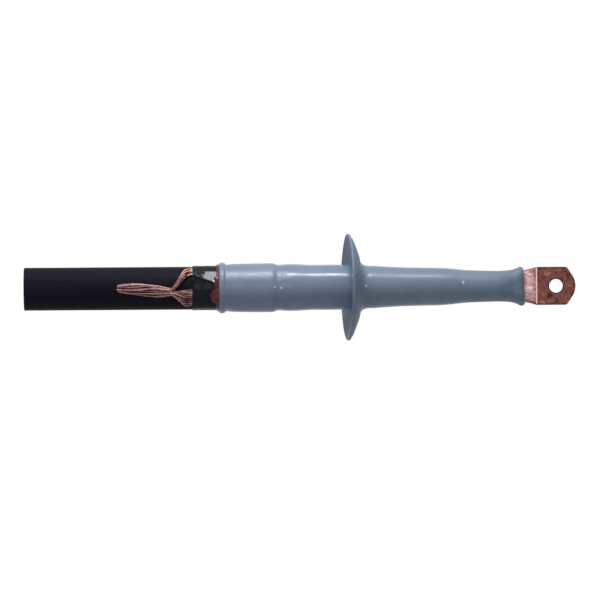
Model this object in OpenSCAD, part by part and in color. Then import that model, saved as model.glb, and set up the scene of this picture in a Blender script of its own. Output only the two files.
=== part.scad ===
// Cold-shrink termination with one skirt, fitted to a stub of screened medium-voltage cable.
// The cable axis runs along +X towards the lug, +Z is up and -Y is the front.
// The origin is the centre of the bolt hole in the lug's palm.
// Angles around the cable are counted from the front and grow towards the top.

/* [Conductor] */
// Diameter of one copper strand of the conductor
strand_d = 2.68; // [2.2:0.02:3.2]
// Room between neighbouring strands
strand_gap = 0.04; // [0.02:0.01:0.1]

/* [Cable layers] */
// Thickness of the black screen on the conductor
conductor_screen_t = 0.6; // [0.4:0.1:1]
// Thickness of the insulation
insulation_t = 4.4; // [3.4:0.1:6]
// Thickness of the black screen on the insulation
insulation_screen_t = 0.8; // [0.5:0.1:1.2]
// Thickness of the bedding tape under the screen wires
bedding_t = 0.3; // [0.2:0.05:0.6]
// Thickness of the separator tape over the screen wires
separator_t = 0.27; // [0.2:0.01:0.6]
// Thickness of the outer jacket
jacket_t = 2.4; // [1.8:0.1:3.5]
// Room between two layers that lie on each other
layer_gap = 0.04; // [0.02:0.01:0.08]

/* [Screen wires] */
// Diameter of one bare copper screen wire
wire_d = 0.8; // [0.6:0.05:0.85]
// Angle of the topmost wire where the wires leave the tape
fan_top = 66; // [60:1:75]
// Angle of the lowest wire where the wires leave the tape
fan_bottom = -53; // [-65:1:-50]
// Angle between neighbouring wires of the upper branch where they leave the tape
fan_step = 3.4; // [3.2:0.1:3.6]
// Angle between neighbouring wires of the lower branch where they leave the tape
fan_step_low = 3.8; // [3.3:0.1:4]
// Length over which the wires gather into the tail
fan_len = 16; // [13:0.5:25]
// Length of the gathered tail, from the gathering to its cut end
tail_len = 41; // [30:1:90]
// Pitch of the wires in the tail, as wire diameters
tail_pitch = 1.26; // [1.08:0.01:1.3]
// Turn of the tail over its length
tail_twist = 60; // [0:10:200]
// How much wider the tail lies at its widest than where it is gathered
tail_spread = 1.9; // [1:0.1:2.4]

/* [Preparation of the cable end] */
// Visible cable, from the tape to the cut end
stub_len = 129.2; // [110:0.2:200]
// Width of the tape wrap
tape_w = 18.5; // [12:0.5:25]
// Thickness of the tape wrap
tape_t = 0.38; // [0.2:0.02:0.6]
// Width of the mastic bead in front of the tube's mouth
bead_w = 1.7; // [1.2:0.1:4]
// Height of the mastic bead
bead_t = 1.55; // [1:0.05:2]
// Jacket under the tube, from the mouth to the jacket's end
jacket_cover = 40.2; // [36:0.2:60]
// Insulation screen left bare, from the jacket's end to the screen's edge
screen_bare = 28.5; // [24:0.5:40]
// Insulation left bare, from the screen's edge to the insulation's end
insulation_bare = 111; // [95:1:150]
// Room between the insulation's end and the lug
growth_gap = 4; // [2:0.5:8]

/* [Stress control] */
// Wall of the stress control tube
stress_t = 1.9; // [1.2:0.1:2.5]
// Stress control tube over the insulation screen
stress_back = 16; // [10:1:20]
// Stress control tube past the screen's edge
stress_ahead = 72; // [60:1:90]
// Length of the compound ring at the screen's edge
compound_len = 6; // [3:0.5:9]

/* [Silicone body] */
// Wall over the lug's barrel
wall_lug = 1.95; // [1.5:0.05:3]
// Wall over the insulation
wall_body = 2.65; // [1.8:0.05:3.5]
// Wall over the stress control tube
wall_stress = 2.8; // [2:0.1:4]
// Wall over the folded screen wires
wall_wires = 1.3; // [1:0.05:2]
// Wall behind the rolled collar
wall_mouth = 1.05; // [0.9:0.05:1.6]
// Thickness of the rolled collar at the mouth
collar_w = 4.8; // [3.6:0.1:6]
// How far the collar stands proud of the tube behind it
collar_rise = 1.6; // [1:0.1:1.8]
// How far the neck dips below the bulge in front of it
neck_dip = 1.2; // [0.4:0.1:1.4]
// How far the lip at the lug end stands proud
lip_rise = 1; // [0.4:0.1:2]
// How far the silicone reaches over the lug's flattened part
lip_cover = 19.5; // [14:0.5:24]

/* [Skirt] */
// Diameter of the skirt
skirt_d = 82; // [64:1:100]
// Distance of the skirt's root past the screen's edge
skirt_ahead = 39.5; // [30:0.5:60]
// Length along the cable from the skirt's root to its rim
skirt_rise = 7.2; // [5:0.1:14]
// Thickness at the rim
skirt_rim_t = 2.8; // [1.6:0.1:3.2]
// Thickness at the root
skirt_root_t = 4; // [3:0.1:6]
// Fillet between the skirt and the body
skirt_fillet = 5; // [2:0.1:6]
// Sideways lean of the soft skirt
skirt_lean = 6.3; // [0:0.1:8]

/* [Lug] */
// Outer diameter of the lug's barrel
lug_d = 19.5; // [19.2:0.1:22]
// Room between the conductor and the lug's bore
strand_room = 0.355; // [0.1:0.005:0.6]
// Length of the round barrel
barrel_len = 31; // [26:0.5:45]
// Length of the flattened transition
transition_len = 29; // [24:0.5:36]
// Length of the palm from the bend to the bolt hole
palm_back = 15; // [13:0.5:22]
// Length of the palm from the bolt hole to its end
palm_nose = 15; // [13:0.5:20]
// Width of the palm
palm_w = 29.2; // [28.4:0.1:32]
// Diameter of the bolt hole
bolt_hole_d = 10.5; // [8.4:0.1:13]
// Width over the flats of a crimp
crimp_flats = 17.7; // [16.6:0.1:18.4]
// Length of one crimp
crimp_len = 10; // [7:0.5:12]

/* [Hidden] */
$fn = 96;

strand_pitch = strand_d + strand_gap;
strand_ring = strand_pitch / (2 * sin(15));
conductor_r = strand_ring + strand_d / 2;
conductor_screen_r0 = conductor_r + layer_gap;
conductor_screen_r = conductor_screen_r0 + conductor_screen_t;
insulation_r0 = conductor_screen_r + layer_gap;
insulation_r = insulation_r0 + insulation_t;
insulation_screen_r0 = insulation_r + layer_gap;
insulation_screen_r = insulation_screen_r0 + insulation_screen_t;
bedding_r0 = insulation_screen_r + layer_gap;
bedding_r = bedding_r0 + bedding_t;
wire_in_r = bedding_r + layer_gap + wire_d / 2;
separator_r0 = wire_in_r + wire_d / 2 + layer_gap;
separator_r = separator_r0 + separator_t;
jacket_r0 = separator_r + layer_gap;
jacket_r = jacket_r0 + jacket_t;
// Sagging of a wire between two of its rings is kept off the jacket by this much
wire_lift = 0.1;
wire_out_r = jacket_r + wire_lift + wire_d / 2;
over_wires_r = wire_out_r + wire_d / 2 + wire_lift;
lug_r = lug_d / 2;
lug_bore_r = conductor_r + strand_room;
lug_wall = lug_r - lug_bore_r;
palm_t = 2 * lug_wall;
// The contact face of the palm lies level with the back of the barrel
axis_y = palm_t / 2 - lug_r;

// Places along the cable, counted from the bolt hole
x_bend = -palm_back;
x_barrel = x_bend - transition_len;
x_lug = x_barrel - barrel_len;
x_insulation = x_lug - growth_gap;
x_screen = x_insulation - insulation_bare;
x_jacket = x_screen - screen_bare;
x_mouth = x_jacket - jacket_cover;
x_bead = x_mouth - bead_w;
x_tape = x_bead - tape_w;
x_cut = x_tape - stub_len;
x_neck = x_tape - fan_len;
x_tail = x_neck - tail_len;
x_stress_back = x_screen - stress_back;
x_stress_ahead = x_screen + stress_ahead;
x_skirt = x_screen + skirt_ahead;
bedding_past = 4;
x_bedding = x_jacket + bedding_past;
// The tube is tight on the jacket from the mouth to here, apart from the wires
tight_len = 12.5;
x_tight = x_mouth + tight_len;

// A cut reaches this far past what it cuts
cut_past = 1;
// Step of the arcs in the turned profiles
arc_step = 15;

// Copper colours, the cable's own colours and the soft parts
copper = [0.62, 0.36, 0.28];
bare_copper = [0.72, 0.45, 0.35];
black = [0.07, 0.07, 0.08];
silicone_grey = [0.50, 0.55, 0.62];

// Lays a solid that was turned about Z along the cable
module along_cable() {
    translate([0, axis_y, 0])
        rotate([0, 90, 0])
            children();
}

// A round layer of the cable from x0 to x1
module layer(r0, r1, x0, x1) {
    along_cable()
        rotate_extrude()
            translate([r0, x0])
                square([r1 - r0, x1 - x0]);
}

// A solid of revolution from a profile of [place, radius] points
module turned(profile) {
    along_cable()
        rotate_extrude()
            polygon([for (p = profile) [p[1], p[0]]]);
}

// A sector of a ring between the angles a0 and a1
module ring_sector(r0, r1, x0, x1, a0, a1) {
    along_cable()
        rotate([0, 0, -90 - a1])
            rotate_extrude(angle = a1 - a0)
                translate([r0, x0])
                    square([r1 - r0, x1 - x0]);
}

// Point on a smooth curve through the points of list p, at step t of span k
function on_curve(p, k, t) =
    let (
        a = p[max(k - 1, 0)],
        b = p[k],
        c = p[k + 1],
        d = p[min(k + 2, len(p) - 1)]
    )
    b + t * ((c - a) / 2 + t * ((a - 2.5 * b + 2 * c - d / 2) + t * (1.5 * (b - c) + (d - a) / 2)));

// A smooth curve through the points of p, with n steps in each span
function curve(p, n) =
    concat(
        [for (k = [0 : len(p) - 2]) for (j = [0 : n - 1]) on_curve(p, k, j / n)],
        [p[len(p) - 1]]
    );

// Eases from 0 to 1
function ease(t) = let (u = min(max(t, 0), 1)) u * u * (3 - 2 * u);
function mix(a, b, t) = a + (b - a) * t;

// Conductor: a centre strand, a layer of six and a layer of twelve
// Each entry gives the strands in a layer, the layer's radius and its first angle
strand_layers = [[1, 0, 0], [6, strand_pitch, 0], [12, strand_ring, 15]];
strand_places = [
    for (l = strand_layers)
        for (k = [0 : l[0] - 1])
            let (a = l[2] + 360 * k / l[0])
            l[1] * [cos(a), sin(a)]
];
// The strands stop short of the barrel's closed end
strand_stop = 2;

module conductor_strand(i) {
    color(bare_copper)
        translate([x_cut, axis_y + strand_places[i][0], strand_places[i][1]])
            rotate([0, 90, 0])
                cylinder(d = strand_d, h = x_barrel - strand_stop - x_cut);
}

module conductor_screen() {
    color(black)
        layer(conductor_screen_r0, conductor_screen_r, x_cut, x_insulation);
}

module insulation() {
    color([0.90, 0.89, 0.84])
        layer(insulation_r0, insulation_r, x_cut, x_insulation);
}

module insulation_screen() {
    color(black)
        layer(insulation_screen_r0, insulation_screen_r, x_cut, x_screen);
}

module bedding_tape() {
    color([0.45, 0.45, 0.44])
        layer(bedding_r0, bedding_r, x_cut, x_bedding);
}

module separator_tape() {
    color([0.80, 0.78, 0.72])
        layer(separator_r0, separator_r, x_cut, x_jacket);
}

module jacket() {
    color([0.11, 0.11, 0.13])
        layer(jacket_r0, jacket_r, x_cut, x_jacket);
}

// Screen wires: each lies under the jacket, folds back over the jacket's end, runs to
// the front under the tube, and is gathered with the others into a twisted tail.
// The tail holds them in rows, as a bundle of round wires packs itself.
tail_rows = [4, 5, 6, 5, 4];
row_mid = (len(tail_rows) - 1) / 2;
widest_row = max(tail_rows);
pitch = tail_pitch * wire_d;
row_pitch = pitch * sin(60);
tail_cells = [
    for (c = [widest_row - 1 : -1 : 1 - widest_row])
        for (row = [0 : len(tail_rows) - 1])
            if (abs(c) < tail_rows[row] && (c + tail_rows[row]) % 2 != 0)
                [c * pitch / 2, (row - row_mid) * row_pitch]
];
wire_count = len(tail_cells);
// The bundle can turn without touching the jacket at this height
tail_r = jacket_r + wire_lift + wire_d / 2 + max([for (c = tail_cells) norm(c)]);
// The tail's middle sits a little below the front where it is gathered
tail_angle = -8.6;
fold_r = (wire_out_r - wire_in_r) / 2;
x_fold = x_jacket + layer_gap;
fold_steps = 5;
wrap_steps = 12;
fan_steps = 9;
tail_steps = 9;
wire_sides = 6;
// The wires are lifted into their rows ahead of being drawn together
lift_share = 0.45;
draw_start = 0.06;
// Share of an even wrap and of an even drawing together that eases in and out
wrap_ease = 0.7;
draw_ease = 0.55;
// Half-waves of spread along the tail
tail_waves = 0.93;
// Each end of the tail is cut a little differently
cut_stagger = 0.8;
stagger_turn = 131;

function wire_angle(i) = 180 - (i + 0.5) * 360 / wire_count;
// The wires leave the tape in an upper branch of this many and a lower branch of the rest
branch_wires = 10;
function fan_angle(i) =
    i < branch_wires ? fan_top - i * fan_step
    : fan_bottom + (wire_count - 1 - i) * fan_step_low;
function arc_angle(w) = w / tail_r * 180 / PI;

// A station of a wire: its place along the cable, its radius and its angle
function under_jacket(i) = [
    [x_cut, wire_in_r, wire_angle(i)],
    [x_jacket - fold_r, wire_in_r, wire_angle(i)]
];
function folded(i) = [
    for (k = [0 : fold_steps])
        let (a = -90 + 180 * k / fold_steps)
        [x_fold + fold_r * cos(a), wire_in_r + fold_r + fold_r * sin(a), wire_angle(i)]
];
function wrapped(i) = [
    for (k = [1 : wrap_steps])
        let (t = k / wrap_steps)
        [
            mix(x_fold, x_tight, t),
            wire_out_r,
            mix(wire_angle(i), fan_angle(i), mix(t, ease(t), wrap_ease))
        ]
];
function fanned(i) = [
    for (k = [0 : fan_steps - 1])
        let (
            t = k / fan_steps,
            lift = ease(t / lift_share),
            drawn = max(t - draw_start, 0) / (1 - draw_start),
            draw = mix(drawn, ease(drawn), draw_ease)
        )
        [
            mix(x_tape, x_neck, t),
            mix(wire_out_r, tail_r + tail_cells[i][1], lift),
            mix(fan_angle(i), tail_angle + arc_angle(tail_cells[i][0]), draw)
        ]
];
function tail_width(t) = mix(1, tail_spread, sin(180 * tail_waves * t));
function tailed(i) = [
    for (k = [0 : tail_steps])
        let (
            t = k / tail_steps,
            a = tail_twist * ease(t),
            c = tail_cells[i],
            across = c[0] * cos(a) - c[1] * sin(a),
            up = c[0] * sin(a) + c[1] * cos(a),
            middle = tail_angle * (1 - ease(t))
        )
        [
            mix(x_neck, x_tail, t) + cut_stagger * t * sin(stagger_turn * i),
            tail_r + up,
            middle + arc_angle(across * tail_width(t))
        ]
];
function wire_stations(i) =
    concat(under_jacket(i), folded(i), wrapped(i), fanned(i), tailed(i));

function around(angle) = [0, sin(angle), cos(angle)];
function station_point(s) = [s[0], axis_y - s[1] * cos(s[2]), s[1] * sin(s[2])];
function unit(v) = v / norm(v);

// A round wire swept along its stations
module swept_wire(stations) {
    n = len(stations);
    p = [for (s = stations) station_point(s)];
    rings = [
        for (k = [0 : n - 1])
            let (
                t = unit(p[min(k + 1, n - 1)] - p[max(k - 1, 0)]),
                e = around(stations[k][2]),
                u = unit(e - (e * t) * t),
                v = cross(t, u)
            )
            for (j = [0 : wire_sides - 1])
                p[k] + wire_d / 2 * (u * cos(360 * j / wire_sides) + v * sin(360 * j / wire_sides))
    ];
    sides = [
        for (k = [0 : n - 2])
            for (j = [0 : wire_sides - 1])
                let (
                    a = k * wire_sides + j,
                    b = k * wire_sides + (j + 1) % wire_sides
                )
                each [[a, a + wire_sides, b], [b, a + wire_sides, b + wire_sides]]
    ];
    start = [for (j = [0 : wire_sides - 1]) j];
    end = [for (j = [wire_sides - 1 : -1 : 0]) (n - 1) * wire_sides + j];
    polyhedron(points = rings, faces = concat(sides, [start], [end]));
}

module screen_wire(i) {
    color(bare_copper)
        swept_wire(wire_stations(i));
}

// The tape and the mastic rise over the wires between these angles
rise_angle = 6;
rise_top = fan_top + rise_angle;
rise_bottom = fan_bottom - rise_angle;
step_angle = 3;

// What lies on the jacket starts here
on_jacket_r = jacket_r + layer_gap;

// The part of a band that is lifted over the wires
module lifted(r0, r1, x0, x1) {
    ring_sector(r0, r1, x0, x1, rise_bottom - step_angle, rise_top + step_angle);
}

// The room that the wires take on the jacket
module wire_way(x0, x1) {
    ring_sector(jacket_r - cut_past, over_wires_r, x0 - cut_past, x1 + cut_past, rise_bottom, rise_top);
}

module tape_wrap() {
    color([0.05, 0.05, 0.06])
        difference() {
            union() {
                layer(on_jacket_r, on_jacket_r + tape_t, x_tape, x_bead);
                lifted(on_jacket_r + tape_t / 2, over_wires_r + tape_t, x_tape, x_bead);
            }
            wire_way(x_tape, x_bead);
        }
}

// Mastic: a bead in front of the mouth and a thin film on the jacket inside it
film_t = 0.27;
bead_over_wires = 1.1;
bead_edge = 0.5;

// Lumps of mastic squeezed out over the tape: angle, half width and height of each
mastic_lumps = [[16, 4.2, 1.5], [-21, 6, 1.7]];
// The lumps lie on the tape from here
lump_r = over_wires_r + tape_t + layer_gap;

module mastic_lump(angle, half_w, height) {
    cap_r = (half_w * half_w + height * height) / (2 * height);
    intersection() {
        translate([x_mouth - layer_gap, axis_y, 0])
            rotate([-angle, 0, 0])
                translate([0, cap_r - lump_r - height, 0])
                    sphere(r = cap_r);
        ring_sector(
            lump_r, lump_r + 2 * height, x_mouth - half_w - cut_past, x_mouth - layer_gap,
            rise_bottom, rise_top
        );
    }
}

module sealing_mastic() {
    top_r = on_jacket_r + bead_t;
    color([0.42, 0.06, 0.07])
        difference() {
            union() {
                for (l = mastic_lumps)
                    mastic_lump(l[0], l[1], l[2]);
                turned([
                    [x_bead, on_jacket_r],
                    [x_tight, on_jacket_r],
                    [x_tight, on_jacket_r + film_t],
                    [x_mouth, on_jacket_r + film_t],
                    [x_mouth, top_r - bead_edge],
                    [x_mouth - bead_edge, top_r],
                    [x_bead + bead_edge, top_r],
                    [x_bead, top_r - bead_edge]
                ]);
                lifted(on_jacket_r + film_t / 2, over_wires_r + bead_over_wires, x_bead, x_mouth);
            }
            wire_way(x_bead, x_tight);
        }
}

// Stress control: a ring of compound fills the step at the edge of the insulation screen
stress_r = insulation_screen_r + layer_gap + stress_t;
stress_body_r = insulation_r + layer_gap + stress_t;
stress_end_t = 0.5;
stress_taper = 8;

module stress_compound() {
    color([0.30, 0.30, 0.31])
        turned([
            [x_screen + layer_gap, insulation_r + layer_gap],
            [x_screen + compound_len, insulation_r + layer_gap],
            [x_screen + layer_gap, insulation_screen_r]
        ]);
}

module stress_tube() {
    color([0.09, 0.09, 0.10])
        turned([
            [x_stress_back, insulation_screen_r + layer_gap],
            [x_screen, insulation_screen_r + layer_gap],
            [x_screen + compound_len, insulation_r + 2 * layer_gap],
            [x_stress_ahead, insulation_r + 2 * layer_gap],
            [x_stress_ahead, insulation_r + 2 * layer_gap + stress_end_t],
            [x_stress_ahead - stress_taper, stress_body_r],
            [x_screen + compound_len, stress_body_r],
            [x_screen, stress_r],
            [x_stress_back + stress_taper, stress_r],
            [x_stress_back, insulation_screen_r + layer_gap + stress_end_t]
        ]);
}

// Fold filler: mastic that rounds off the step from the folded wires to the stress tube
x_fold_end = x_fold + fold_r + wire_d / 2 + layer_gap;
filler_top_r = wire_in_r + fold_r;

module fold_filler() {
    color([0.40, 0.07, 0.08])
        turned([
            [x_fold_end, bedding_r + layer_gap],
            [x_bedding + layer_gap, bedding_r + layer_gap],
            [x_bedding + layer_gap, insulation_screen_r + layer_gap],
            [x_stress_back - layer_gap, insulation_screen_r + layer_gap],
            [x_stress_back - layer_gap, insulation_screen_r + layer_gap + stress_end_t],
            [x_fold_end, filler_top_r]
        ]);
}

// Lug seal: mastic in the gap between the insulation and the lug
seal_taper = 10;
seal_end_t = 0.3;

module lug_seal() {
    color([0.40, 0.07, 0.08])
        turned([
            [x_insulation + layer_gap, conductor_r + layer_gap],
            [x_lug - layer_gap, conductor_r + layer_gap],
            [x_lug - layer_gap, lug_r + layer_gap],
            [x_lug + seal_taper, lug_r + layer_gap],
            [x_lug + seal_taper, lug_r + layer_gap + seal_end_t],
            [x_insulation + layer_gap, insulation_r]
        ]);
}

// The flattened end of the lug: a round tube pressed to a flat over its length.
// At share s of the length it is a flat-sided ring, and grow adds a skin of that thickness.
ring_points = 32;
// A faceted end stays this much inside the round face that it joins, and this far behind it
join_step = 0.03;
join_lap = 0.5;
flat_steps = 10;
flat_bend = 1.3;
wide_bend = 1.75;

function flat_t(s) = mix(lug_d, palm_t, pow(s, flat_bend));
function flat_w(s) = mix(lug_d, palm_w, pow(s, wide_bend));
function flat_ring(x, s, grow) =
    let (
        r = flat_t(s) / 2 + grow,
        reach = (flat_w(s) - flat_t(s)) / 2,
        y = palm_t / 2 - flat_t(s) / 2
    )
    [
        for (j = [0 : ring_points - 1])
            let (a = 360 * (j + 0.5) / ring_points)
            [x, y + r * cos(a), r * sin(a) + (sin(a) > 0 ? reach : -reach)]
    ];

// A solid with plane ends through a list of rings of equal length, from -X to +X
module lofted(rings) {
    n = len(rings[0]);
    m = len(rings);
    points = [for (r = rings) each r];
    sides = [
        for (k = [0 : m - 2])
            for (j = [0 : n - 1])
                let (
                    a = k * n + j,
                    b = k * n + (j + 1) % n
                )
                each [[a, a + n, b], [b, a + n, b + n]]
    ];
    start = [for (j = [0 : n - 1]) j];
    end = [for (j = [n - 1 : -1 : 0]) (m - 1) * n + j];
    polyhedron(points = points, faces = concat(sides, [start], [end]));
}

// The cavity of the flattened tube closes before the palm
cavity_steps = 6;
cavity_share = 0.72;
crimp_room = 3;

module barrel() {
    crimp_pitch = (barrel_len - 3 * crimp_room) / 2;
    difference() {
        translate([x_lug, axis_y, 0])
            rotate([0, 90, 0])
                cylinder(r = lug_r, h = barrel_len);
        for (k = [0, 1])
            translate([x_lug + crimp_room + k * (crimp_pitch + crimp_room), axis_y, 0])
                rotate([0, 90, 0])
                    difference() {
                        cylinder(r = lug_d, h = min(crimp_len, crimp_pitch));
                        translate([0, 0, -cut_past])
                            cylinder(d = crimp_flats / cos(30), h = crimp_len + 2 * cut_past, $fn = 6);
                    }
        translate([x_lug - cut_past, axis_y, 0])
            rotate([0, 90, 0])
                cylinder(r = lug_bore_r, h = barrel_len + 2 * cut_past);
    }
}

module flattened() {
    difference() {
        lofted([
            for (k = [0 : flat_steps])
                let (
                    s = k / flat_steps,
                    lap = k == 0 ? -join_lap : k == flat_steps ? join_lap : 0
                )
                flat_ring(mix(x_barrel, x_bend, s) + lap, s, lap == 0 ? 0 : -join_step)
        ]);
        lofted([
            for (k = [0 : cavity_steps])
                let (
                    s = cavity_share * k / cavity_steps,
                    past = k == 0 ? 2 * join_lap : 0,
                    open = k == 0 ? 2 * join_step : -join_step
                )
                flat_ring(mix(x_barrel, x_bend, s) - past, s, open - lug_wall)
        ]);
    }
}

// The palm has a nose round the bolt hole and slanted corners
palm_corner_x = 7.5;
palm_slant = 1.7;
palm_slope = 0.7;
nose_angle = 40;

module palm_outline() {
    w = palm_w / 2;
    polygon([
        [x_bend, -w],
        [palm_corner_x, -w],
        [palm_corner_x + palm_slant, -w + palm_slant * palm_slope],
        [palm_nose * cos(nose_angle), -palm_nose * sin(nose_angle)],
        [palm_nose * cos(nose_angle), palm_nose * sin(nose_angle)],
        [palm_corner_x + palm_slant, w - palm_slant * palm_slope],
        [palm_corner_x, w],
        [x_bend, w]
    ]);
    circle(r = palm_nose);
}

module palm() {
    reach = palm_w - palm_t;
    difference() {
        intersection() {
            rotate([90, 0, 0])
                linear_extrude(height = palm_t, center = true)
                    palm_outline();
            union() {
                translate([x_bend, -palm_t / 2, -reach / 2])
                    cube([palm_back + palm_nose, palm_t, reach]);
                for (side = [-1, 1])
                    translate([x_bend, 0, side * reach / 2])
                        rotate([0, 90, 0])
                            cylinder(d = palm_t, h = palm_back + palm_nose);
            }
        }
        rotate([90, 0, 0])
            cylinder(d = bolt_hole_d, h = palm_t + 2 * cut_past, center = true);
    }
}

module compression_lug() {
    color(copper) {
        barrel();
        flattened();
        palm();
    }
}

// Silicone body: the outside follows what it is shrunk on, a wall at a time
bulge_r = over_wires_r + wall_wires;
tube_r0 = on_jacket_r + film_t + layer_gap;
mouth_r = tube_r0 + wall_mouth;
waist_r = stress_r + layer_gap + wall_stress;
hip_r = stress_body_r + layer_gap + wall_body;
shoulder_r = insulation_r + 2 * layer_gap + stress_end_t + layer_gap + wall_body;
body_r = insulation_r + layer_gap + wall_body;
barrel_r = lug_r + layer_gap + wall_lug;
collar_r = mouth_r + collar_rise - collar_w / 2;
// Where the outside has left one wall behind, counted from the station that it passes
lip_run = 14;
lug_run = 5;
end_run = 2;
body_run = 13;
hip_run = 23;
waist_run = 15;
screen_run = 3;
ridge_run = 9;
ridge_end = 0.4;
neck_run = 5;
bulge_start = 1.6;
bulge_run = 3.5;
bulge_len = 16;
tight_run = 0.5;
collar_run = 1;
// What the outside stands proud of the wall, or falls short of it, at those places
lip_swell = 0.3;
lug_swell = 0.85;
end_dip = 0.6;
skirt_swell = 0.2;
ridge_swell = 0.6;
ridge_lift = 0.65;
bulge_ease = 0.15;
bulge_slope = 0.1;
tight_dip = 0.35;
outside = [
    [x_barrel, barrel_r],
    [x_barrel - lip_run, barrel_r + lip_swell],
    [x_lug + lug_run, barrel_r + lug_swell],
    [x_insulation - end_run, body_r - end_dip],
    [x_insulation - body_run, body_r],
    [x_stress_ahead, shoulder_r],
    [x_stress_ahead - hip_run, hip_r],
    [x_skirt, hip_r + skirt_swell],
    [x_skirt - waist_run, waist_r],
    [x_screen + screen_run, waist_r],
    [x_screen - ridge_run, waist_r + ridge_swell],
    [x_stress_back + ridge_end, waist_r + ridge_lift],
    [x_jacket + neck_run, bulge_r - neck_dip],
    [x_jacket + bulge_start, bulge_r - bulge_ease],
    [x_jacket - bulge_run, bulge_r],
    [x_jacket - bulge_len, bulge_r - bulge_slope],
    [x_tight - tight_run, bulge_r - tight_dip],
    [x_mouth + collar_w + collar_run, mouth_r],
    [x_mouth + collar_w, mouth_r]
];
collar_start = 30;
// Powers below 1 make the collar's round squarer
collar_square = 0.6;
function squared(v) = sign(v) * pow(abs(v), collar_square);
collar = [
    for (a = [collar_start : arc_step : 180])
        [x_mouth + collar_w / 2 * (1 + squared(cos(a))), collar_r + collar_w / 2 * squared(sin(a))]
];
// The bore clears the fold's shoulder, the filler and the steps of the layers under it
fold_shoulder = 0.9;
filler_room = 1;
stress_step = 2;
seal_step = 1;
inside = [
    [x_mouth, tube_r0],
    [x_tight, tube_r0],
    [x_tight, over_wires_r],
    [x_fold, over_wires_r],
    [x_fold + fold_r * fold_shoulder, wire_out_r + wire_lift],
    [x_fold_end, filler_top_r + filler_room],
    [x_stress_back, insulation_screen_r + 3 * layer_gap + stress_end_t],
    [x_stress_back + stress_taper, stress_r + layer_gap],
    [x_screen, stress_r + layer_gap],
    [x_screen + compound_len, stress_body_r + layer_gap],
    [x_stress_ahead - stress_taper, stress_body_r + layer_gap],
    [x_stress_ahead, insulation_r + 3 * layer_gap + stress_end_t],
    [x_stress_ahead + stress_step, insulation_r + layer_gap],
    [x_insulation, insulation_r + layer_gap],
    [x_lug + seal_taper, lug_r + 2 * layer_gap + seal_end_t],
    [x_lug + seal_taper + seal_step, lug_r + layer_gap],
    [x_barrel, lug_r + layer_gap]
];

skirt_bow = 0.1;
skirt_steps = 10;

module skirt() {
    rim_r = skirt_d / 2 - skirt_rim_t / 2;
    root_r = hip_r + skirt_fillet;
    base_r = (hip_r + stress_r) / 2;
    function right(u) = [-skirt_rise * mix(u, u * u * u, skirt_bow), mix(root_r, rim_r, u)];
    function left(u) = right(u) - [mix(skirt_root_t, skirt_rim_t, u), 0];
    fillet = [
        for (a = [270 : -arc_step : 180])
            [skirt_fillet * (1 + cos(a)), root_r + skirt_fillet * sin(a)]
    ];
    rim = [
        for (a = [arc_step : arc_step : 180 - arc_step])
            right(1) + skirt_rim_t / 2 * [cos(a) - 1, sin(a)]
    ];
    profile = concat(
        [[skirt_fillet, base_r]],
        fillet,
        [for (k = [1 : skirt_steps]) right(k / skirt_steps)],
        rim,
        [for (k = [skirt_steps : -1 : 0]) left(k / skirt_steps)],
        [[-skirt_root_t, base_r]]
    );
    translate([x_skirt, axis_y, 0])
        rotate([0, 0, skirt_lean])
            rotate([0, 90, 0])
                rotate_extrude()
                    polygon([for (p = profile) [p[1], p[0]]]);
}

// The lip follows the flattened lug, and swells to a bead at its end
lip_steps = 12;
lip_bead = 9;
// The bead is steeper towards the lip's edge
lip_steep = 0.58;
lip_gap = 0.2;
// Share of the wall left at the lip's edge, and the length over which it grows to the full wall
lip_edge = 0.55;
lip_round = 3;

function lip_share(k) = lip_cover / transition_len * k / lip_steps;
function lip_x(k) = x_barrel + lip_cover * k / lip_steps;
function lip_grow(k) =
    let (
        from_end = lip_cover * (1 - k / lip_steps),
        swell = from_end > lip_bead ? 0 : sin(180 * pow(from_end / lip_bead, lip_steep)),
        close = min(1, lip_edge + from_end / lip_round)
    )
    layer_gap - join_step + wall_lug * close + lip_rise * swell;

module lip() {
    difference() {
        lofted([for (k = [0 : lip_steps]) flat_ring(lip_x(k), lip_share(k), lip_grow(k))]);
        lofted([
            for (k = [0 : lip_steps])
                let (past = k == 0 ? -cut_past : k == lip_steps ? cut_past : 0)
                flat_ring(lip_x(k) + past, lip_share(k), lip_gap)
        ]);
    }
}

module silicone_body() {
    color(silicone_grey)
        difference() {
            union() {
                turned(concat(inside, curve(outside, 4), collar));
                ring_sector(
                    tube_r0 + wall_mouth / 2, over_wires_r + wall_mouth, x_mouth + collar_w / 2, x_tight,
                    rise_bottom - step_angle, rise_top + step_angle
                );
                skirt();
                lip();
            }
            ring_sector(
                tube_r0 - wall_mouth, over_wires_r, x_mouth - cut_past, x_tight + cut_past,
                rise_bottom, rise_top
            );
        }
}

function numbered(name, i) = str(name, "_", i < 9 ? "0" : "", i + 1);
strand_names = [for (i = [0 : len(strand_places) - 1]) numbered("conductor_strand", i)];
wire_names = [for (i = [0 : wire_count - 1]) numbered("screen_wire", i)];

silicone_body();
compression_lug();
jacket();
separator_tape();
bedding_tape();
insulation_screen();
insulation();
conductor_screen();
stress_tube();
stress_compound();
fold_filler();
lug_seal();
sealing_mastic();
tape_wrap();
for (i = [0 : len(strand_names) - 1])
    conductor_strand(i);
for (i = [0 : len(wire_names) - 1])
    screen_wire(i);
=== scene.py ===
# %% [markdown]
# A cable termination: a blue-grey silicone tube with one skirt, shrunk on a stub of cable, with a copper
# lug at one end and the cable's screen wires gathered at the other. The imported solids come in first, as a
# fixed frame in metres. Sizes are taken from that frame or named where they are first used, apart from small
# offsets.

# %% The frame
import math

import bmesh
import bpy
from mathutils import Matrix, Vector, noise


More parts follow.
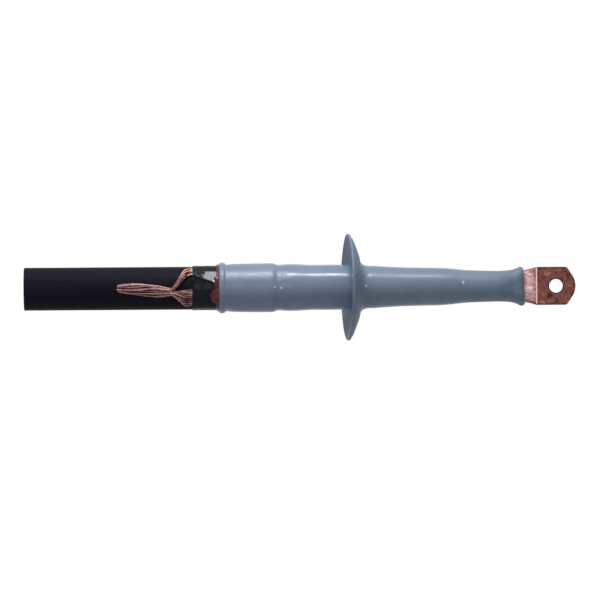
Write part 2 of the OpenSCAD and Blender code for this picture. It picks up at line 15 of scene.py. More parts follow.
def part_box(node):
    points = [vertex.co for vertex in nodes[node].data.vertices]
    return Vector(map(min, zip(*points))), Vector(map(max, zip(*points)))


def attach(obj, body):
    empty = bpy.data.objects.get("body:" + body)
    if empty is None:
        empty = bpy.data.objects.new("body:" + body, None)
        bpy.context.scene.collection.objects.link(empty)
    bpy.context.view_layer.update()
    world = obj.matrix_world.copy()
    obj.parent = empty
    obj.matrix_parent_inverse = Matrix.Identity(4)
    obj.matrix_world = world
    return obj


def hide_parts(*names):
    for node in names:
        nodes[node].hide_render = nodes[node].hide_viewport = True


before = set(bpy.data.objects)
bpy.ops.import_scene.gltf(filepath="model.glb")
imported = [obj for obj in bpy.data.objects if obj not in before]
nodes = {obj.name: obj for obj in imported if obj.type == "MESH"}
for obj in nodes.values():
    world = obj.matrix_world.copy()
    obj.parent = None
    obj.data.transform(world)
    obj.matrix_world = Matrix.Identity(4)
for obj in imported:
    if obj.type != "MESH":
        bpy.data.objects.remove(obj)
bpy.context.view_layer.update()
MM_PER_M = 1000


# %% [markdown]
# The photograph looks straight at the side of the object from far away, so its outline has next to no
# perspective. A long lens on a distant camera gives the same look. The cable rises a little towards the lug
# in the picture, which a small roll of the camera repeats, because the part itself is straight.

# %% The camera
PICTURE_WIDTH = 0.4602
MIDDLE = Vector((-0.19655, -0.007, -0.0096))
LENS, SENSOR, FAR_LIMIT = 500.0, 36.0, 20.0
CAMERA_ROLL = math.radians(-0.38)

scene = bpy.context.scene
camera_data = bpy.data.cameras.new("camera")
camera_data.lens = LENS
camera_data.sensor_width = SENSOR
camera_data.clip_end = FAR_LIMIT
camera = bpy.data.objects.new("camera", camera_data)
scene.collection.objects.link(camera)
distance = PICTURE_WIDTH * LENS / SENSOR
camera.location = MIDDLE + Vector((0.0, -distance, 0.0))
upright = Matrix.Rotation(math.radians(90), 3, "X")
roll = Matrix.Rotation(CAMERA_ROLL, 3, "Z")
camera.rotation_euler = (upright @ roll).to_euler()
scene.camera = camera
print("camera at", [round(c, 3) for c in camera.location])

# %% [markdown]
# The background is an even white surround, brighter to the camera and to reflections than it is as a source
# of light, so the picture is white while the object stays at a plain level. The Light Path node tells these
# rays apart, so no backdrop is needed.

# %% The white surround
FILL = 0.21
scene.view_settings.view_transform = "Standard"
world = bpy.data.worlds.new("studio")
scene.world = world
world.use_nodes = True
tree = world.node_tree
surround = tree.nodes["Background"]
surround.inputs["Color"].default_value = (1.0, 1.0, 1.0, 1.0)
rays = tree.nodes.new("ShaderNodeLightPath")
seen = rays.outputs["Is Camera Ray"]
for socket in ("Is Glossy Ray", "Is Transmission Ray"):
    either = tree.nodes.new("ShaderNodeMath")
    either.operation = "MAXIMUM"
    tree.links.new(seen, either.inputs[0])
    tree.links.new(rays.outputs[socket], either.inputs[1])
    seen = either.outputs[0]
strength = tree.nodes.new("ShaderNodeMapRange")
strength.inputs["To Min"].default_value = FILL
strength.inputs["To Max"].default_value = 1.0
tree.links.new(seen, strength.inputs["Value"])
tree.links.new(strength.outputs["Result"], surround.inputs["Strength"])
print("surround lights the object at", FILL)

# %% [markdown]
# A soft lamp high in front draws the pale streak along the upper side of the tube, and a wide one above
# lights the rest. Two small panels near the bulge light its upper half alone. Area lamps are used because
# their size sets how soft a streak is.

# %% The lamps
KEY_X, BULGE_X = -0.158, -0.238
# Each lamp: name, place that it aims at, where it stands seen from there, size, watts
LAMPS = (
    ("key", KEY_X, (0.0, -0.44, 1.11), (0.24, 0.20), 6.5),
    ("top", MIDDLE.x, (0.0, -0.42, 1.55), (1.8, 1.5), 11.6),
    ("near", BULGE_X, (0.0, -0.131, 0.254), (0.040, 0.20), 0.29),
    ("front", BULGE_X, (0.0, -0.50, 0.09), (0.03, 0.25), 0.12),
)
for name, aim_x, away, size, watts in LAMPS:
    lamp_data = bpy.data.lights.new(name, "AREA")
    lamp_data.shape = "RECTANGLE"
    lamp_data.size, lamp_data.size_y = size
    lamp_data.energy = watts
    lamp = bpy.data.objects.new(name, lamp_data)
    lamp.location = Vector((aim_x, MIDDLE.y, MIDDLE.z)) + Vector(away)
    lamp.rotation_euler = (-Vector(away)).to_track_quat("-Z", "Y").to_euler()
    scene.collection.objects.link(lamp)
print("lamps:", len(LAMPS))

# %% [markdown]
# Everything is measured around the cable: a place along it in millimetres, a radius, and an angle counted
# from the front and growing towards the top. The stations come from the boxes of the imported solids, so the
# pieces below lie where those solids lie.

# %% Stations along the cable
def span(node):
    """The lowest and the highest corner of a solid, in millimetres."""
    low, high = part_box(node)
    return low * MM_PER_M, high * MM_PER_M


def half_height(node):
    low, high = span(node)
    return (high.z - low.z) / 2


low, high = span("jacket")
X_CUT, X_JACKET = low.x, high.x
AXIS_Y = (low.y + high.y) / 2
X_TAPE, X_BEAD = (c.x for c in span("tape_wrap"))
X_MOUTH, X_LIP = (c.x for c in span("silicone_body"))
X_LUG, X_NOSE = (c.x for c in span("compression_lug"))
X_STRESS_BACK, X_STRESS_AHEAD = (c.x for c in span("stress_tube"))
X_SCREEN = span("insulation_screen")[1].x
X_INSULATION = span("insulation")[1].x
JACKET_R, SKIRT_R = half_height("jacket"), half_height("silicone_body")
STRESS_R, INSULATION_R = half_height("stress_tube"), half_height("insulation")
PALM_HALF = half_height("compression_lug")
PALM_T = 2 * span("compression_lug")[1].y
LUG_R = PALM_T / 2 - AXIS_Y
GAP = 0.04
print(f"axis y {AXIS_Y:.2f}, jacket r {JACKET_R:.2f}, lug r {LUG_R:.2f}, skirt r {SKIRT_R:.2f}")


# %% Places, shares and smooth changes
def around(x, r, angle):
    a = math.radians(angle)
    return Vector((x, AXIS_Y - r * math.cos(a), r * math.sin(a)))


def polar(point):
    """Radius and angle of a point around the cable."""
    forward, up = AXIS_Y - point.y, point.z
    return math.hypot(forward, up), math.degrees(math.atan2(up, forward))


def wave(degrees):
    return math.sin(math.radians(degrees))


def mix(a, b, t):
    return a + (b - a) * t


def ease(t):
    u = min(max(t, 0.0), 1.0)
    return u * u * (3 - 2 * u)


def hump(value, middle, reach):
    """1 at the middle, falling smoothly to 0 at the reach on both sides."""
    return ease(1 - abs(value - middle) / reach)


def dome(value, middle, reach):
    """1 at the middle, falling like a round drop to 0 at the reach on both sides."""
    return math.sqrt(max(0.0, 1 - ((value - middle) / reach) ** 2))


def ripple(u, v, layer):
    """Smooth noise over u and v, another one for each layer."""
    return noise.noise(Vector((u, v, layer)))


# %% [markdown]
# A round piece is a line that is turned about the cable. The line is a smooth curve through a few stations,
# and a full spin closes it. Small moves of the vertices afterwards give it the dents and leans that a soft
# or hand-made piece has.

# %% Lines and turned pieces
FEWEST_STEPS = 3
TOUCH = 1e-4


def smooth_line(points, longest):
    """A smooth curve through the points, in steps that are hardly longer than that."""
    def between(p, q, r, s, t):
        bend = p - 2.5 * q + 2 * r - s / 2
        return q + t * ((r - p) / 2 + t * (bend + t * (1.5 * (q - r) + (s - p) / 2)))

    line = []
    for k in range(len(points) - 1):
        a, b = points[max(k - 1, 0)], points[k]
        c, d = points[k + 1], points[min(k + 2, len(points) - 1)]
        steps = max(FEWEST_STEPS, math.ceil(math.dist(b, c) / longest))
        line += [tuple(between(*four, j / steps) for four in zip(a, b, c, d)) for j in range(steps)]
    line.append(tuple(points[-1]))
    return line


def divided(points, longest):
    """The same line with points added, so that no step is longer than that."""
    line = [points[0]]
    for a, b in zip(points, points[1:]):
        n = max(1, math.ceil(math.dist(a, b) / longest))
        line += [tuple(mix(p, q, j / n) for p, q in zip(a, b)) for j in range(1, n + 1)]
    return line


def closed_up(bm):
    """Merges doubles and turns all faces outwards."""
    bmesh.ops.remove_doubles(bm, verts=bm.verts, dist=TOUCH)
    bmesh.ops.recalc_face_normals(bm, faces=bm.faces)
    return bm


def turned(profile, steps, bore=0):
    """A bmesh of the closed profile of (place, radius) points, turned once round the cable.

    The last points of the profile, as many as bore says, are marked as the inside.
    """
    bm = bmesh.new()
    inner = bm.verts.layers.int.new("inner")
    line = [bm.verts.new((x, AXIS_Y, r)) for x, r in profile]
    for v in line[len(line) - bore:]:
        v[inner] = 1
    edges = [bm.edges.new(pair) for pair in zip(line, line[1:] + line[:1])]
    bmesh.ops.spin(
        bm, geom=line + edges, cent=(0.0, AXIS_Y, 0.0), axis=(1.0, 0.0, 0.0),
        angle=math.tau, steps=steps, use_merge=True,
    )
    return closed_up(bm)


def placed(bm, name, finish, sharp=40.0):
    """Makes the bmesh, in millimetres, an object. Only edges above the sharp angle stay sharp."""
    for edge in bm.edges:
        edge.smooth = len(edge.link_faces) == 2 and edge.calc_face_angle(0.0) < math.radians(sharp)
    for face in bm.faces:
        face.smooth = True
    bmesh.ops.scale(bm, vec=[1 / MM_PER_M] * 3, verts=bm.verts)
    data = bpy.data.meshes.new(name)
    bm.to_mesh(data)
    bm.free()
    data.materials.append(finish.material)
    obj = bpy.data.objects.new(name, data)
    scene.collection.objects.link(obj)
    return obj


def piece(bm, name, nodes, finish, sharp=40.0):
    """Makes the bmesh an object that stands for CAD nodes."""
    obj = placed(bm, name, finish, sharp)
    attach(obj, "root")
    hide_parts(*nodes)
    print(f"{name}: {len(obj.data.vertices)} vertices, {len(obj.data.polygons)} faces")


# %% [markdown]
# Finishes are node materials on Object coordinates. The object sits at the origin, so those coordinates are
# metres on the part, and a pattern keeps its size and place on every piece. One small class keeps the node
# work short: a call adds a node or a few, and gives back an output.

# %% A kit for finishes
def shade(red, green, blue):
    """A colour as a picture shows it, from 0 to 255, made linear for the shader."""
    def linear(c):
        c /= 255
        return c / 12.92 if c <= 0.04045 else ((c + 0.055) / 1.055) ** 2.4
    return (linear(red), linear(green), linear(blue), 1.0)


class Finish:
    def __init__(self, name, **sockets):
        self.material = bpy.data.materials.new(name)
        self.material.use_nodes = True
        self.tree = self.material.node_tree
        self.shader = self.tree.nodes["Principled BSDF"]
        self.place = self.node("TexCoord", {}).outputs["Object"]
        self.set(**sockets)

    def set(self, **sockets):
        self.join(self.shader, {socket.replace("_", " "): value for socket, value in sockets.items()})

    def join(self, node, inputs):
        for socket, value in inputs.items():
            if isinstance(value, bpy.types.NodeSocket):
                self.tree.links.new(value, node.inputs[socket])
            else:
                node.inputs[socket].default_value = value

    def node(self, kind, inputs):
        made = self.tree.nodes.new("ShaderNode" + kind)
        self.join(made, inputs)
        return made

    def noise(self, size, detail=3.0, rough=0.55, stretch=(1, 1, 1), twist=0.0):
        """Noise whose patches are about size millimetres across."""
        scaled = self.node("Mapping", {"Vector": self.place, "Scale": stretch}).outputs["Vector"]
        grain = {"Scale": MM_PER_M / size, "Detail": detail, "Roughness": rough, "Distortion": twist}
        return self.node("TexNoise", {"Vector": scaled, **grain}).outputs["Fac"]

    def axis(self, letter):
        """The place along one axis, in metres."""
        return self.node("SeparateXYZ", {"Vector": self.place}).outputs[letter]

    def near(self, point, reach):
        """1 close to a point, falling to 0 at the reach, both in millimetres."""
        node = self.node("VectorMath", {0: self.place, 1: point / MM_PER_M})
        node.operation = "DISTANCE"
        return self.over(node.outputs["Value"], reach / 2, reach, 1.0, 0.0)

    def maths(self, operation, a, b=0.0):
        node = self.node("Math", {0: a, 1: b})
        node.operation = operation
        return node.outputs["Value"]

    def add(self, a, b):
        return self.maths("ADD", a, b)

    def times(self, a, b):
        return self.maths("MULTIPLY", a, b)

    def hypotenuse(self, a, b):
        return self.maths("SQRT", self.add(self.times(a, a), self.times(b, b)))

    def step(self, value, start, end, low=0.0, high=1.0):
        """Goes smoothly from low to high while the value goes from start to end."""
        limits = {"From Min": start, "From Max": end, "To Min": low, "To Max": high}
        node = self.node("MapRange", {"Value": value, **limits})
        node.interpolation_type = "SMOOTHSTEP"
        return node.outputs["Result"]

    def over(self, place, start, end, low=0.0, high=1.0):
        """The same for a place in metres, with its start and end in millimetres."""
        return self.step(place, start / MM_PER_M, end / MM_PER_M, low, high)

    def ramp(self, value, *stops):
        """Colours along a value. Each stop: its position, red, green, blue."""
        node = self.node("ValToRGB", {"Fac": value})
        elements = node.color_ramp.elements
        while len(elements) < len(stops):
            elements.new(0.5)
        for element, (position, *colour) in zip(elements, stops):
            element.position = position
            element.color = shade(*colour)
        return node.outputs["Color"]

    def blend(self, share, a, b):
        node = self.node("Mix", {})
        node.data_type = "RGBA"
        self.join(node, {0: share, 6: a, 7: b})
        return node.outputs[2]

    def bump(self, height, depth):
        """A bump whose full height is depth millimetres."""
        node = self.node("Bump", {"Height": height, "Distance": depth / MM_PER_M, "Strength": 1.0})
        self.set(Normal=node.outputs["Normal"])


# %% [markdown]
# A pale floor lies well below, and keeps the object's shadow when it is seen from above. A flat disc is
# enough. From below it is clear, so that it hides nothing.

# %% The floor
FLOOR_Z, FLOOR_R, FLOOR_SIDES = -300.0, 340.0, 96
FLOOR_GREY, FLOOR_ROUGHNESS = (0.88, 0.88, 0.88, 1.0), 0.9

paint = Finish("floor_paint", Base_Color=FLOOR_GREY, Roughness=FLOOR_ROUGHNESS)
from_below = paint.node("NewGeometry", {}).outputs["Backfacing"]
clear = paint.node("BsdfTransparent", {}).outputs[0]
one_sided = paint.node("MixShader", {0: from_below, 1: paint.shader.outputs[0], 2: clear})
paint.join(paint.tree.nodes["Material Output"], {"Surface": one_sided.outputs[0]})

bm = bmesh.new()
bmesh.ops.create_circle(bm, cap_ends=True, segments=FLOOR_SIDES, radius=FLOOR_R)
bmesh.ops.translate(bm, verts=bm.verts, vec=(MIDDLE.x * MM_PER_M, 0.0, FLOOR_Z))
floor = placed(bm, "floor", paint)
print("floor at", FLOOR_Z, "mm")

# %% [markdown]
# The jacket is a black polyethylene tube, extruded over the cable and cut square. It could stay a plain
# cylinder, but a real one is a touch uneven and its cut edge is slightly rounded, so its wall is turned
# with small bevels, and its outside is pushed in by hundredths of a millimetre.

# %% The jacket
JACKET_T, CUT_BEVEL = 2.4, 0.35
UNEVEN, UNEVEN_SCALE = 0.06, 0.06
JACKET_STEP, JACKET_SIDES = 2.0, 112

sheath = Finish("black_jacket", Specular_IOR_Level=0.05)
fine = sheath.noise(size=1.3, detail=4.0)
drawn = sheath.noise(size=2.4, stretch=(0.05, 1, 1))
sheath.set(
    Base_Color=sheath.ramp(drawn, (0.30, 17, 16, 25), (0.72, 26, 25, 36)),
    Roughness=sheath.step(fine, 0.25, 0.75, low=0.52, high=0.68),
)
sheath.bump(sheath.add(drawn, sheath.times(fine, 0.4)), depth=0.05)

outer = divided([(X_CUT + CUT_BEVEL, JACKET_R), (X_JACKET - CUT_BEVEL, JACKET_R)], JACKET_STEP)
edge_r, inner_r = JACKET_R - CUT_BEVEL, JACKET_R - JACKET_T
ends = [(X_JACKET, edge_r), (X_JACKET, inner_r), (X_CUT, inner_r), (X_CUT, edge_r)]
bm = turned(outer + ends, JACKET_SIDES)
for v in bm.verts:
    r, a = polar(v.co)
    if r > JACKET_R - CUT_BEVEL / 2:
        v.co = around(v.co.x, r - UNEVEN * (0.5 + 0.5 * noise.noise(v.co * UNEVEN_SCALE)), a)
piece(bm, "jacket_tube", ["jacket"], sheath)

# %% [markdown]
# The cut end shows the cable's layers as rings round nineteen strands. Their solids are already the right
# shape, so they stay and only get finishes: saw marks on the insulation, dull black for the conducting
# layers, pale tape, and bright cut copper. One function makes them all.


def grained(name, stops, size, detail, depth, stretch=(1, 1, 1), rough=None, **sockets):
    """A finish whose colour, bump and, if wanted, roughness follow one grain."""
    finish = Finish(name, **sockets)
    grain = finish.noise(size, detail, stretch=stretch)
    finish.set(Base_Color=finish.ramp(grain, *stops))
    if rough:
        finish.set(Roughness=finish.step(grain, 0.3, 0.7, *rough))
    finish.bump(grain, depth)
    return finish


def dress(finish, *names):
    for name in names:
        data = nodes[name].data
        data.materials.clear()
        data.materials.append(finish.material)


dress(grained(
    "milky_insulation", [(0.3, 206, 203, 190), (0.7, 224, 222, 212)], size=1.1, detail=2.0, depth=0.08,
    stretch=(1, 0.12, 1), Roughness=0.42, Subsurface_Weight=0.08,
), "insulation")
dress(grained(
    "conducting_black", [(0.3, 24, 24, 26), (0.7, 40, 40, 43)], size=0.7, detail=4.0, depth=0.04,
    rough=(0.5, 0.7), Specular_IOR_Level=0.25,
), "conductor_screen", "insulation_screen", "stress_tube")
dress(grained(
    "inner_mastic", [(0.3, 74, 16, 20), (0.7, 112, 28, 30)], size=2.5, detail=3.0, depth=0.2, Roughness=0.4,
), "fold_filler", "lug_seal")
dress(grained(
    "grey_compound", [(0.3, 70, 70, 72), (0.7, 96, 96, 98)], size=1.8, detail=3.0, depth=0.1, Roughness=0.55,
), "stress_compound")

FLEECE = dict(
    size=0.6, detail=2.0, depth=0.08, stretch=(0.3, 1, 1), Roughness=0.85, Specular_IOR_Level=0.2,
)
dress(grained("separator_fleece", [(0.3, 188, 182, 166), (0.7, 216, 211, 198)], **FLEECE), "separator_tape")
dress(grained("swelling_fleece", [(0.3, 96, 96, 94), (0.7, 128, 127, 124)], **FLEECE), "bedding_tape")

strands = [name for name in nodes if name.startswith("conductor_strand")]
dress(grained(
    "conductor_copper", [(0.25, 150, 88, 66), (0.75, 206, 138, 112)], size=0.5, detail=3.0, depth=0.05,
    stretch=(1, 1, 0.2), rough=(0.28, 0.45), Metallic=1.0,
), *strands)
print("layers inside dressed:", len(strands), "strands")

# %% [markdown]
# The screen wires are twenty-four bare copper wires. Each lies under the jacket, folds back over its end,
# runs to the front under the tube, comes out from under the tape in one of two branches, and is gathered
# with the others into a tail that turns a little. The tail is packed in rows, like pipes in a stack. Routes
# could be drawn by hand, but a rule, the one of the solids with more steps, keeps the wires apart.

# %% The packing of the tail
WIRE_D, WIRE_LIFT = 0.8, 0.1
TAIL_ROWS = (4, 5, 6, 5, 4)
TAIL_PITCH = 1.26 * WIRE_D
ROW_RISE = TAIL_PITCH * wave(60)

cells = []
widest = max(TAIL_ROWS)
for column in range(widest - 1, -widest, -1):
    for row, count in enumerate(TAIL_ROWS):
        if abs(column) < count and (column + count) % 2:
            cells.append((column * TAIL_PITCH / 2, (row - len(TAIL_ROWS) // 2) * ROW_RISE))
WIRES = len(cells)
WIRE_OUT_R = JACKET_R + WIRE_LIFT + WIRE_D / 2
TAIL_R = WIRE_OUT_R + max(math.hypot(*cell) for cell in cells)
print(WIRES, "wires, tail at radius", round(TAIL_R, 2))

# %% The route of one wire
FAN_TOP, FAN_BOTTOM, FAN_STEP, FAN_STEP_LOW, BRANCH_WIRES = 66.0, -53.0, 3.4, 3.8, 10
TAIL_ANGLE, TAIL_TWIST, TAIL_SPREAD, TAIL_WAVES = -8.6, 60.0, 1.9, 0.93
LIFT_SHARE, DRAW_START, DRAW_EASE, WRAP_EASE = 0.45, 0.06, 0.55, 0.7
CUT_STAGGER, STAGGER_TURN, SWAY, SWAYS = 0.8, 131.0, 0.3, 3
FAN_LEN, TAIL_LEN, TIGHT_LEN = 16.0, 41.0, 12.5
FOLD_STEPS, WRAP_STEPS, FAN_STEPS, TAIL_STEPS = 8, 16, 27, 27
WIRE_IN_R = half_height("bedding_tape") + GAP + WIRE_D / 2
OVER_WIRES_R = WIRE_OUT_R + WIRE_D / 2 + WIRE_LIFT
FOLD_R = (WIRE_OUT_R - WIRE_IN_R) / 2
X_FOLD = X_JACKET + GAP
X_TIGHT = X_MOUTH + TIGHT_LEN
X_NECK = X_TAPE - FAN_LEN
X_TAIL = X_NECK - TAIL_LEN


def fan_angle(i):
    """Where wire i leaves the tape, in the upper or the lower branch."""
    if i < BRANCH_WIRES:
        return FAN_TOP - i * FAN_STEP
    return FAN_BOTTOM + (WIRES - 1 - i) * FAN_STEP_LOW


def wire_route(i):
    """Points of wire i, from the cut end of the cable to the cut end of the tail."""
    start, fan = 180 - (i + 0.5) * 360 / WIRES, fan_angle(i)
    across, up = cells[i]
    degrees_per_mm = math.degrees(1 / TAIL_R)
    route = [(x, WIRE_IN_R, start) for x in (X_CUT, mix(X_CUT, X_JACKET, 0.5), X_JACKET - FOLD_R)]
    for k in range(FOLD_STEPS + 1):
        a = -90 + 180 * k / FOLD_STEPS
        route.append((X_FOLD + FOLD_R * wave(a + 90), WIRE_IN_R + FOLD_R * (1 + wave(a)), start))
    for k in range(1, WRAP_STEPS + 1):
        t = k / WRAP_STEPS
        turn = mix(start, fan, mix(t, ease(t), WRAP_EASE))
        route.append((mix(X_FOLD, X_TIGHT, t), WIRE_OUT_R, turn))
    for k in range(FAN_STEPS):
        t = k / FAN_STEPS
        lift, pulled = ease(t / LIFT_SHARE), max(t - DRAW_START, 0.0) / (1 - DRAW_START)
        draw = mix(pulled, ease(pulled), DRAW_EASE)
        route.append((
            mix(X_TAPE, X_NECK, t), mix(WIRE_OUT_R, TAIL_R + up, lift),
            mix(fan, TAIL_ANGLE + across * degrees_per_mm, draw),
        ))
    for k in range(TAIL_STEPS + 1):
        t = k / TAIL_STEPS
        turn = TAIL_TWIST * ease(t)
        c, s = wave(turn + 90), wave(turn)
        width = mix(1, TAIL_SPREAD, wave(180 * TAIL_WAVES * t))
        sway = SWAY * wave(180 * t) * wave(180 * SWAYS * t + STAGGER_TURN * i)
        sideways = (across * c - up * s) * width + sway
        route.append((
            mix(X_NECK, X_TAIL, t) + CUT_STAGGER * t * wave(STAGGER_TURN * i), TAIL_R + across * s + up * c,
            TAIL_ANGLE * (1 - ease(t)) + sideways * degrees_per_mm,
        ))
    return [around(*station) for station in route]


print("points on a wire:", len(wire_route(0)))

# %% [markdown]
# Bare screen wires are tarnished, some more than others, and a few are still bright. A curve with a round
# bevel is the quickest wire, and a mesh made of that curve can carry a tone at each vertex, so one finish
# gives every wire its own colour.

# %% Copper of the screen wires
wire = Finish("screen_wire_copper", Metallic=0.75)
tarnish = wire.noise(size=3.0, stretch=(0.35, 1, 1))
own_tone = wire.node("Attribute", {})
own_tone.attribute_name = "tone"
tone = wire.add(own_tone.outputs["Fac"], wire.step(tarnish, 0.3, 0.7, -0.12, 0.12))
wire.set(
    Base_Color=wire.ramp(
        tone, (0.10, 60, 38, 38), (0.34, 112, 76, 78), (0.58, 166, 120, 122),
        (0.74, 142, 132, 98), (0.80, 196, 138, 118), (0.96, 240, 186, 158),
    ),
    Roughness=wire.step(tarnish, 0.3, 0.7, low=0.26, high=0.46),
)
wire.bump(wire.noise(size=0.5, detail=2.0, stretch=(0.15, 1, 1)), depth=0.02)

# %% The wires
# Each set of tones: its middle, how far wires differ from it, and two angles that spread them
TAIL_TONES = (0.43, 0.27, 97.0, 40)
UPPER_TONES, LOWER_TONES = (0.20, 0.14, 53.0, 75), (0.36, 0.14, 53.0, 75)
PALE, BRIGHT = 0.73, 0.96
ODD_WIRES = {11: PALE, 12: PALE, 14: PALE, 2: BRIGHT, 4: BRIGHT, 5: BRIGHT, 8: BRIGHT}
TONE_PAST_NECK, TONE_RUN = 7, 5
BEVEL_ROUNDNESS = 2


def spread(i, middle, reach, turn, start):
    return middle + reach * wave(turn * i + start)


def wire_mesh(name, points, tail_tone, fan_tone):
    """A round wire along the points, as a mesh whose tone changes from the tail to the fan."""
    line = bpy.data.curves.new(name, "CURVE")
    line.dimensions = "3D"
    line.bevel_depth = WIRE_D / 2
    line.bevel_resolution = BEVEL_ROUNDNESS
    line.use_fill_caps = True
    spline = line.splines.new("POLY")
    spline.points.add(len(points) - 1)
    for point, place in zip(spline.points, points):
        point.co = (*place, 1.0)
    holder = bpy.data.objects.new(name, line)
    bm = bmesh.new()
    bm.from_mesh(holder.to_mesh())
    bpy.data.objects.remove(holder)
    bpy.data.curves.remove(line)
    closed_up(bm)
    layer = bm.verts.layers.float.new("tone")
    for v in bm.verts:
        v[layer] = mix(tail_tone, fan_tone, ease((v.co.x - X_NECK - TONE_PAST_NECK) / TONE_RUN))
    return bm


for i in range(WIRES):
    fan_tones = UPPER_TONES if i < BRANCH_WIRES else LOWER_TONES
    fan_tone = ODD_WIRES.get(i, spread(i, *fan_tones))
    name = f"bare_wire_{i + 1:02d}"
    bm = wire_mesh(name, wire_route(i), spread(i, *TAIL_TONES), fan_tone)
    piece(bm, name, [f"screen_wire_{i + 1:02d}"], wire, sharp=60)

# %% [markdown]
# Black vinyl tape holds the wires down in front of the tube. It is stretched as it is wound, so it lies
# close, but it spans the hollows beside the wires and leaves a sharp ridge where one turn was pulled
# across another. Cloth could be simulated, but a rule for its outside puts the ridge where the photograph
# has it.

# %% The outside of the tape
ON_JACKET_R = JACKET_R + GAP
TAPE_T, TURN_STEP, TURN_PITCH, TURN_EDGE = 0.38, 0.14, 7.5, 0.12
RISE_TOP, RISE_BOTTOM, RISE_EASE = FAN_TOP + 6, FAN_BOTTOM - 6, 8.0
RIDGE_LEFT, RIDGE_RIGHT, RIDGE_R, RIDGE_FALL, RIDGE_WANDER = 31.5, 11.0, 19.1, 4.0, 1.6
CREST_LEFT, CREST_RIGHT, CREST_SHARE = 6.5, 1.2, 0.45
# The flat facet: its outward direction along the cable, forward and up, and how far it lies from the axis
FACET_DIRECTION, FACET_R = (0.056, 0.826, 0.560), 18.3
FACET_TOP, FACET_FROM, FACET_EASE = 44.0, 0.30, 0.25
# The crumple near the edge: its middle and reach along the tape, the same round it, and its height
CRUMPLE_ALONG, CRUMPLE_ROUND, CRUMPLE_RISE = (3.5, 6.0), (34.0, 26.0), 0.32
TAPE_UNEVEN = 0.05


def over_wires(angle):
    """1 where the wires lie on the jacket, 0 where they don't."""
    inside = min(angle - RISE_BOTTOM, RISE_TOP - angle)
    return ease(1 + inside / RISE_EASE)


def under_r(angle):
    """Radius of the jacket or of the wires on it."""
    return mix(ON_JACKET_R, OVER_WIRES_R, over_wires(angle))


def straight(r1, a1, r2, a2, a):
    """Radius at angle a of the straight line between two points."""
    return r1 * r2 * wave(a1 - a2) / (r1 * wave(a1 - a) + r2 * wave(a - a2))


def facet_r(x, a):
    """Radius of the flat facet, which lies at its set distance halfway along the tape."""
    along, forward, up = FACET_DIRECTION
    return (FACET_R - along * (x - (X_TAPE + X_BEAD) / 2)) / (forward * wave(90 - a) + up * wave(a))


def tape_r(x, a):
    """Radius of the tape's outside."""
    along = (x - X_TAPE) / (X_BEAD - X_TAPE)
    base = under_r(a) + TAPE_T
    turn = ((x - X_TAPE) / TURN_PITCH - a / 360) % 1.0
    base += TURN_STEP * ease(turn / TURN_EDGE) * (1 - turn)
    ridge = mix(RIDGE_LEFT, RIDGE_RIGHT, along) + RIDGE_WANDER * ripple(x * 0.5, 3.1, 0)
    crest = ridge + mix(CREST_LEFT, CREST_RIGHT, ease(along / CREST_SHARE))
    flatness = ease((along - FACET_FROM) / FACET_EASE)
    if crest <= a < FACET_TOP:
        spanned = straight(OVER_WIRES_R + TAPE_T, FACET_TOP, RIDGE_R, crest, a)
        base = mix(spanned, facet_r(x, a), flatness)
    elif ridge <= a < crest:
        base = RIDGE_R
    elif FACET_TOP <= a < FACET_TOP + RIDGE_FALL:
        base = mix(base, facet_r(x, FACET_TOP), flatness * ease(1 - (a - FACET_TOP) / RIDGE_FALL))
    elif ridge - RIDGE_FALL < a < ridge:
        base = mix(base, RIDGE_R, ease(1 - (ridge - a) / RIDGE_FALL))
    crumple = hump(x - X_TAPE, *CRUMPLE_ALONG) * hump(a, *CRUMPLE_ROUND)
    wrinkle = 1 - abs(ripple(x * 0.9, a * 0.16, 7.0)) * 2
    return base + CRUMPLE_RISE * crumple * wrinkle + TAPE_UNEVEN * ripple(x * 0.35, a * 0.05, 1.0)


print("tape over the wires at radius", round(OVER_WIRES_R + TAPE_T, 2))

# %% [markdown]
# The tape itself is a band turned about the cable, whose outside and inside are then moved to their rules.
# Its front is glossy and the rest is duller, so its roughness grows with the place along Y.

# %% The tape
TAPE_STEP, TAPE_SIDES = 0.36, 400
DULL_RUN, DULL_MORE = 9.0, 0.34

vinyl = Finish("black_vinyl_tape", Specular_IOR_Level=0.14, Specular_Tint=(0.78, 0.86, 1.0, 1.0))
skin = vinyl.noise(size=0.8)
stretched = vinyl.noise(size=4.0, detail=2.0, stretch=(1, 0.3, 0.3))
gloss = vinyl.step(skin, 0.3, 0.7, low=0.16, high=0.26)
dull = vinyl.over(vinyl.axis("Y"), AXIS_Y - DULL_RUN, AXIS_Y, high=DULL_MORE)
vinyl.set(
    Base_Color=vinyl.ramp(stretched, (0.3, 8, 7, 11), (0.75, 18, 16, 24)),
    Roughness=vinyl.add(gloss, dull),
)
vinyl.bump(vinyl.add(stretched, vinyl.times(skin, 0.2)), depth=0.04)

outer = divided([(X_TAPE, ON_JACKET_R + TAPE_T), (X_BEAD, ON_JACKET_R + TAPE_T)], TAPE_STEP)
bm = turned(outer + [(X_BEAD, ON_JACKET_R), (X_TAPE, ON_JACKET_R)], TAPE_SIDES)
for v in bm.verts:
    r, a = polar(v.co)
    if r < ON_JACKET_R + TAPE_T / 2:
        v.co = around(v.co.x, under_r(a), a)
    else:
        v.co = around(v.co.x, tape_r(v.co.x, a), a)
piece(bm, "tape_band", ["tape_wrap"], vinyl, sharp=50)

# %% [markdown]
# Red sealing mastic is pressed into the tube's mouth, and some of it is squeezed out in front as shiny
# lumps. A turned bead is lifted over the wires, and a short list of lumps swells it where the photograph
# shows them, with a smaller unevenness all round.

